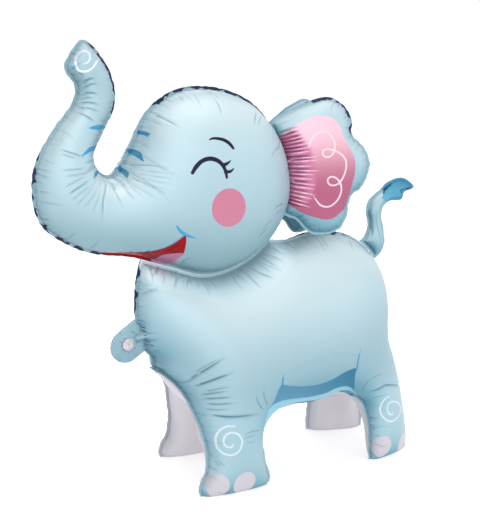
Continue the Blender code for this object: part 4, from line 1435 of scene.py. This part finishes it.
def makeTail():
    step = tailShape["step"]
    root = beside(bodyPlain, placed(tailFoot), placed(tailTop))
    free = stretch(np.vstack([root[-1:], placed(tailOutline), root[:1]]), step)
    outline = anticlockwise(np.vstack([stretch(root, step)[:-1], free[:-1]]))
    target = targetFor("tail_balloon")
    pulled = seamCreases(outline, tailSpans, 90)
    creases = pulled + photoCreases(tailCreaseItems, target)

    def fields(flat, away):
        tuft = (flat[:, 0] - placed((tailShape["tuftFrom"], 0))[0]) / tailShape["tuftOver"]
        return {"shade": np.clip(tuft, 0, 1)}

    material = foilShader("tail_foil", "foil", {
        "inkTuft": ("tuftPale", "tuft"), "tuftShadow": "tuftShadowColour", "inkWhite": "white"}, "foilUnderShade")
    tail = twoSided("tail_foil", outline, tailShape, layInks(tailPrintAndShadow, target), {-1: creases, 1: creases},
                    seamWave(outline, pulled, 12), material, fields)
    finishPiece(tail, "tail_balloon")


makeTail()


# White film crumpled into the filling hole

filmShape = {"rings": 9, "around": 36, "half": 0.0005, "dome": 0.0012, "crumple": 0.0011, "size": 0.011,
             "roughness": 0.42, "coat": 0.2, "tintSize": 0.006}


def makeFilm():
    rings, count = filmShape["rings"], filmShape["around"]
    radius = tab["hole"] - gap
    turns = 2 * np.pi * np.arange(count) / count
    way = np.stack([np.cos(turns), np.sin(turns)], axis=1)
    flat = np.vstack([[(0.0, 0.0)]] + [radius * ring / rings * way for ring in range(1, rings + 1)])
    share = np.linalg.norm(flat, axis=1) / radius
    lift = filmShape["crumple"] * foldNoise(flat, filmShape["size"], 5) * (1 - share**3)
    lift += filmShape["dome"] * (1 - share**2)
    faces = [(0, 1 + k, 1 + (k + 1) % count) for k in range(count)]
    for ring in range(rings - 1):
        a, b = 1 + ring * count, 1 + (ring + 1) * count
        faces += [(a + k, b + k, b + (k + 1) % count, a + (k + 1) % count) for k in range(count)]
    n = len(flat)
    front, rear = (np.stack([flat[:, 0] + tabHole[0], y, flat[:, 1] + tabHole[1]], axis=1)
                   for y in (-filmShape["half"] - lift, filmShape["half"] + 0.4 * lift))
    edge = list(range(n - count, n))
    faces += [tuple(n + k for k in face[::-1]) for face in faces] + ringFaces(edge, [n + k for k in edge])
    shader = Shader("valve_film", colours["film"], filmShape["roughness"], 0.0, filmShape["coat"])
    tint = shader.noise(filmShape["tintSize"]).smooth(0.4, 0.65)
    shader.give("Base Color", shader.mix(tint, colours["film"], colours["filmShade"]))
    film = pieceFrom("valve_film_sheet", np.vstack([front, rear]), faces, {}, [shader.material])
    finishPiece(film, "valve_film")


makeFilm()


# Floor and light

studio = {"floor": 14.0, "floorGlow": 0.42, "dim": 0.58, "glow": 0.44, "behind": (-0.6, 0.7),
          "level": (0.34, 0.16)}
lamps = {  # place, aim, size, power
    "key": ((-1.3, -2.5, 1.6), (0, 0, 0.35), 3.0, 30.0),
    "top": ((0.1, -0.4, 2.7), (0, 0, 0.35), 2.0, 14.0),
    "fill": ((1.9, -2.0, 1.2), (0.05, 0, 0.3), 2.0, 6.0),
    "back": ((0.6, 2.2, 2.2), (0, 0, 0.35), 1.4, 10.0),
}


def makeFloor():
    mesh = bpy.data.meshes.new("floor")
    shape = bmesh.new()
    bmesh.ops.create_circle(shape, cap_ends=True, segments=96, radius=studio["floor"])
    shape.to_mesh(mesh)
    shape.free()
    floor = show(bpy.data.objects.new("floor", mesh))
    floor.location.z = -0.0004
    paint = Shader("floor_paint", (0.80, 0.80, 0.80), 0.75, 0.0, specular=0.2)
    paint.set("Emission Color", (1.0, 1.0, 1.0, 1.0))
    paint.set("Emission Strength", studio["floorGlow"])
    mesh.materials.append(paint.material)


def makeWorld():
    # white behind the object and along the horizon, dimmer on the camera's side
    world = bpy.data.worlds.new("studio")
    bpy.context.scene.world = world
    world.use_nodes = True
    tree = world.node_tree
    toward = addNode(tree, "TexCoord", output="Generated")
    behind, level = (
        addNode(tree, "VectorMath", {"operation": "DOT_PRODUCT"}, {0: toward, 1: way}, "Value").smooth(*ends)
        for way, ends in (((*forward[:2], 0.0), studio["behind"]), ((0.0, 0.0, 1.0), studio["level"])))
    glow = behind.maths("MAXIMUM", level) * studio["glow"] + studio["dim"]
    tree.links.new(glow.socket, tree.nodes["Background"].inputs["Strength"])
    tree.nodes["Background"].inputs["Color"].default_value = (1.0, 1.0, 1.0, 1.0)


def makeLamps():
    for name, (spot, aim, size, power) in lamps.items():
        lamp = bpy.data.lights.new(name, "AREA")
        lamp.shape = "DISK"
        lamp.size = size
        lamp.energy = power
        holder = show(bpy.data.objects.new(name, lamp))
        holder.location = spot
        holder.rotation_euler = (Vector(aim) - Vector(spot)).to_track_quat("-Z", "Y").to_euler()
    bpy.context.scene.view_settings.view_transform = "Standard"


makeFloor()
makeWorld()
makeLamps()
print("made the floor and the lights")
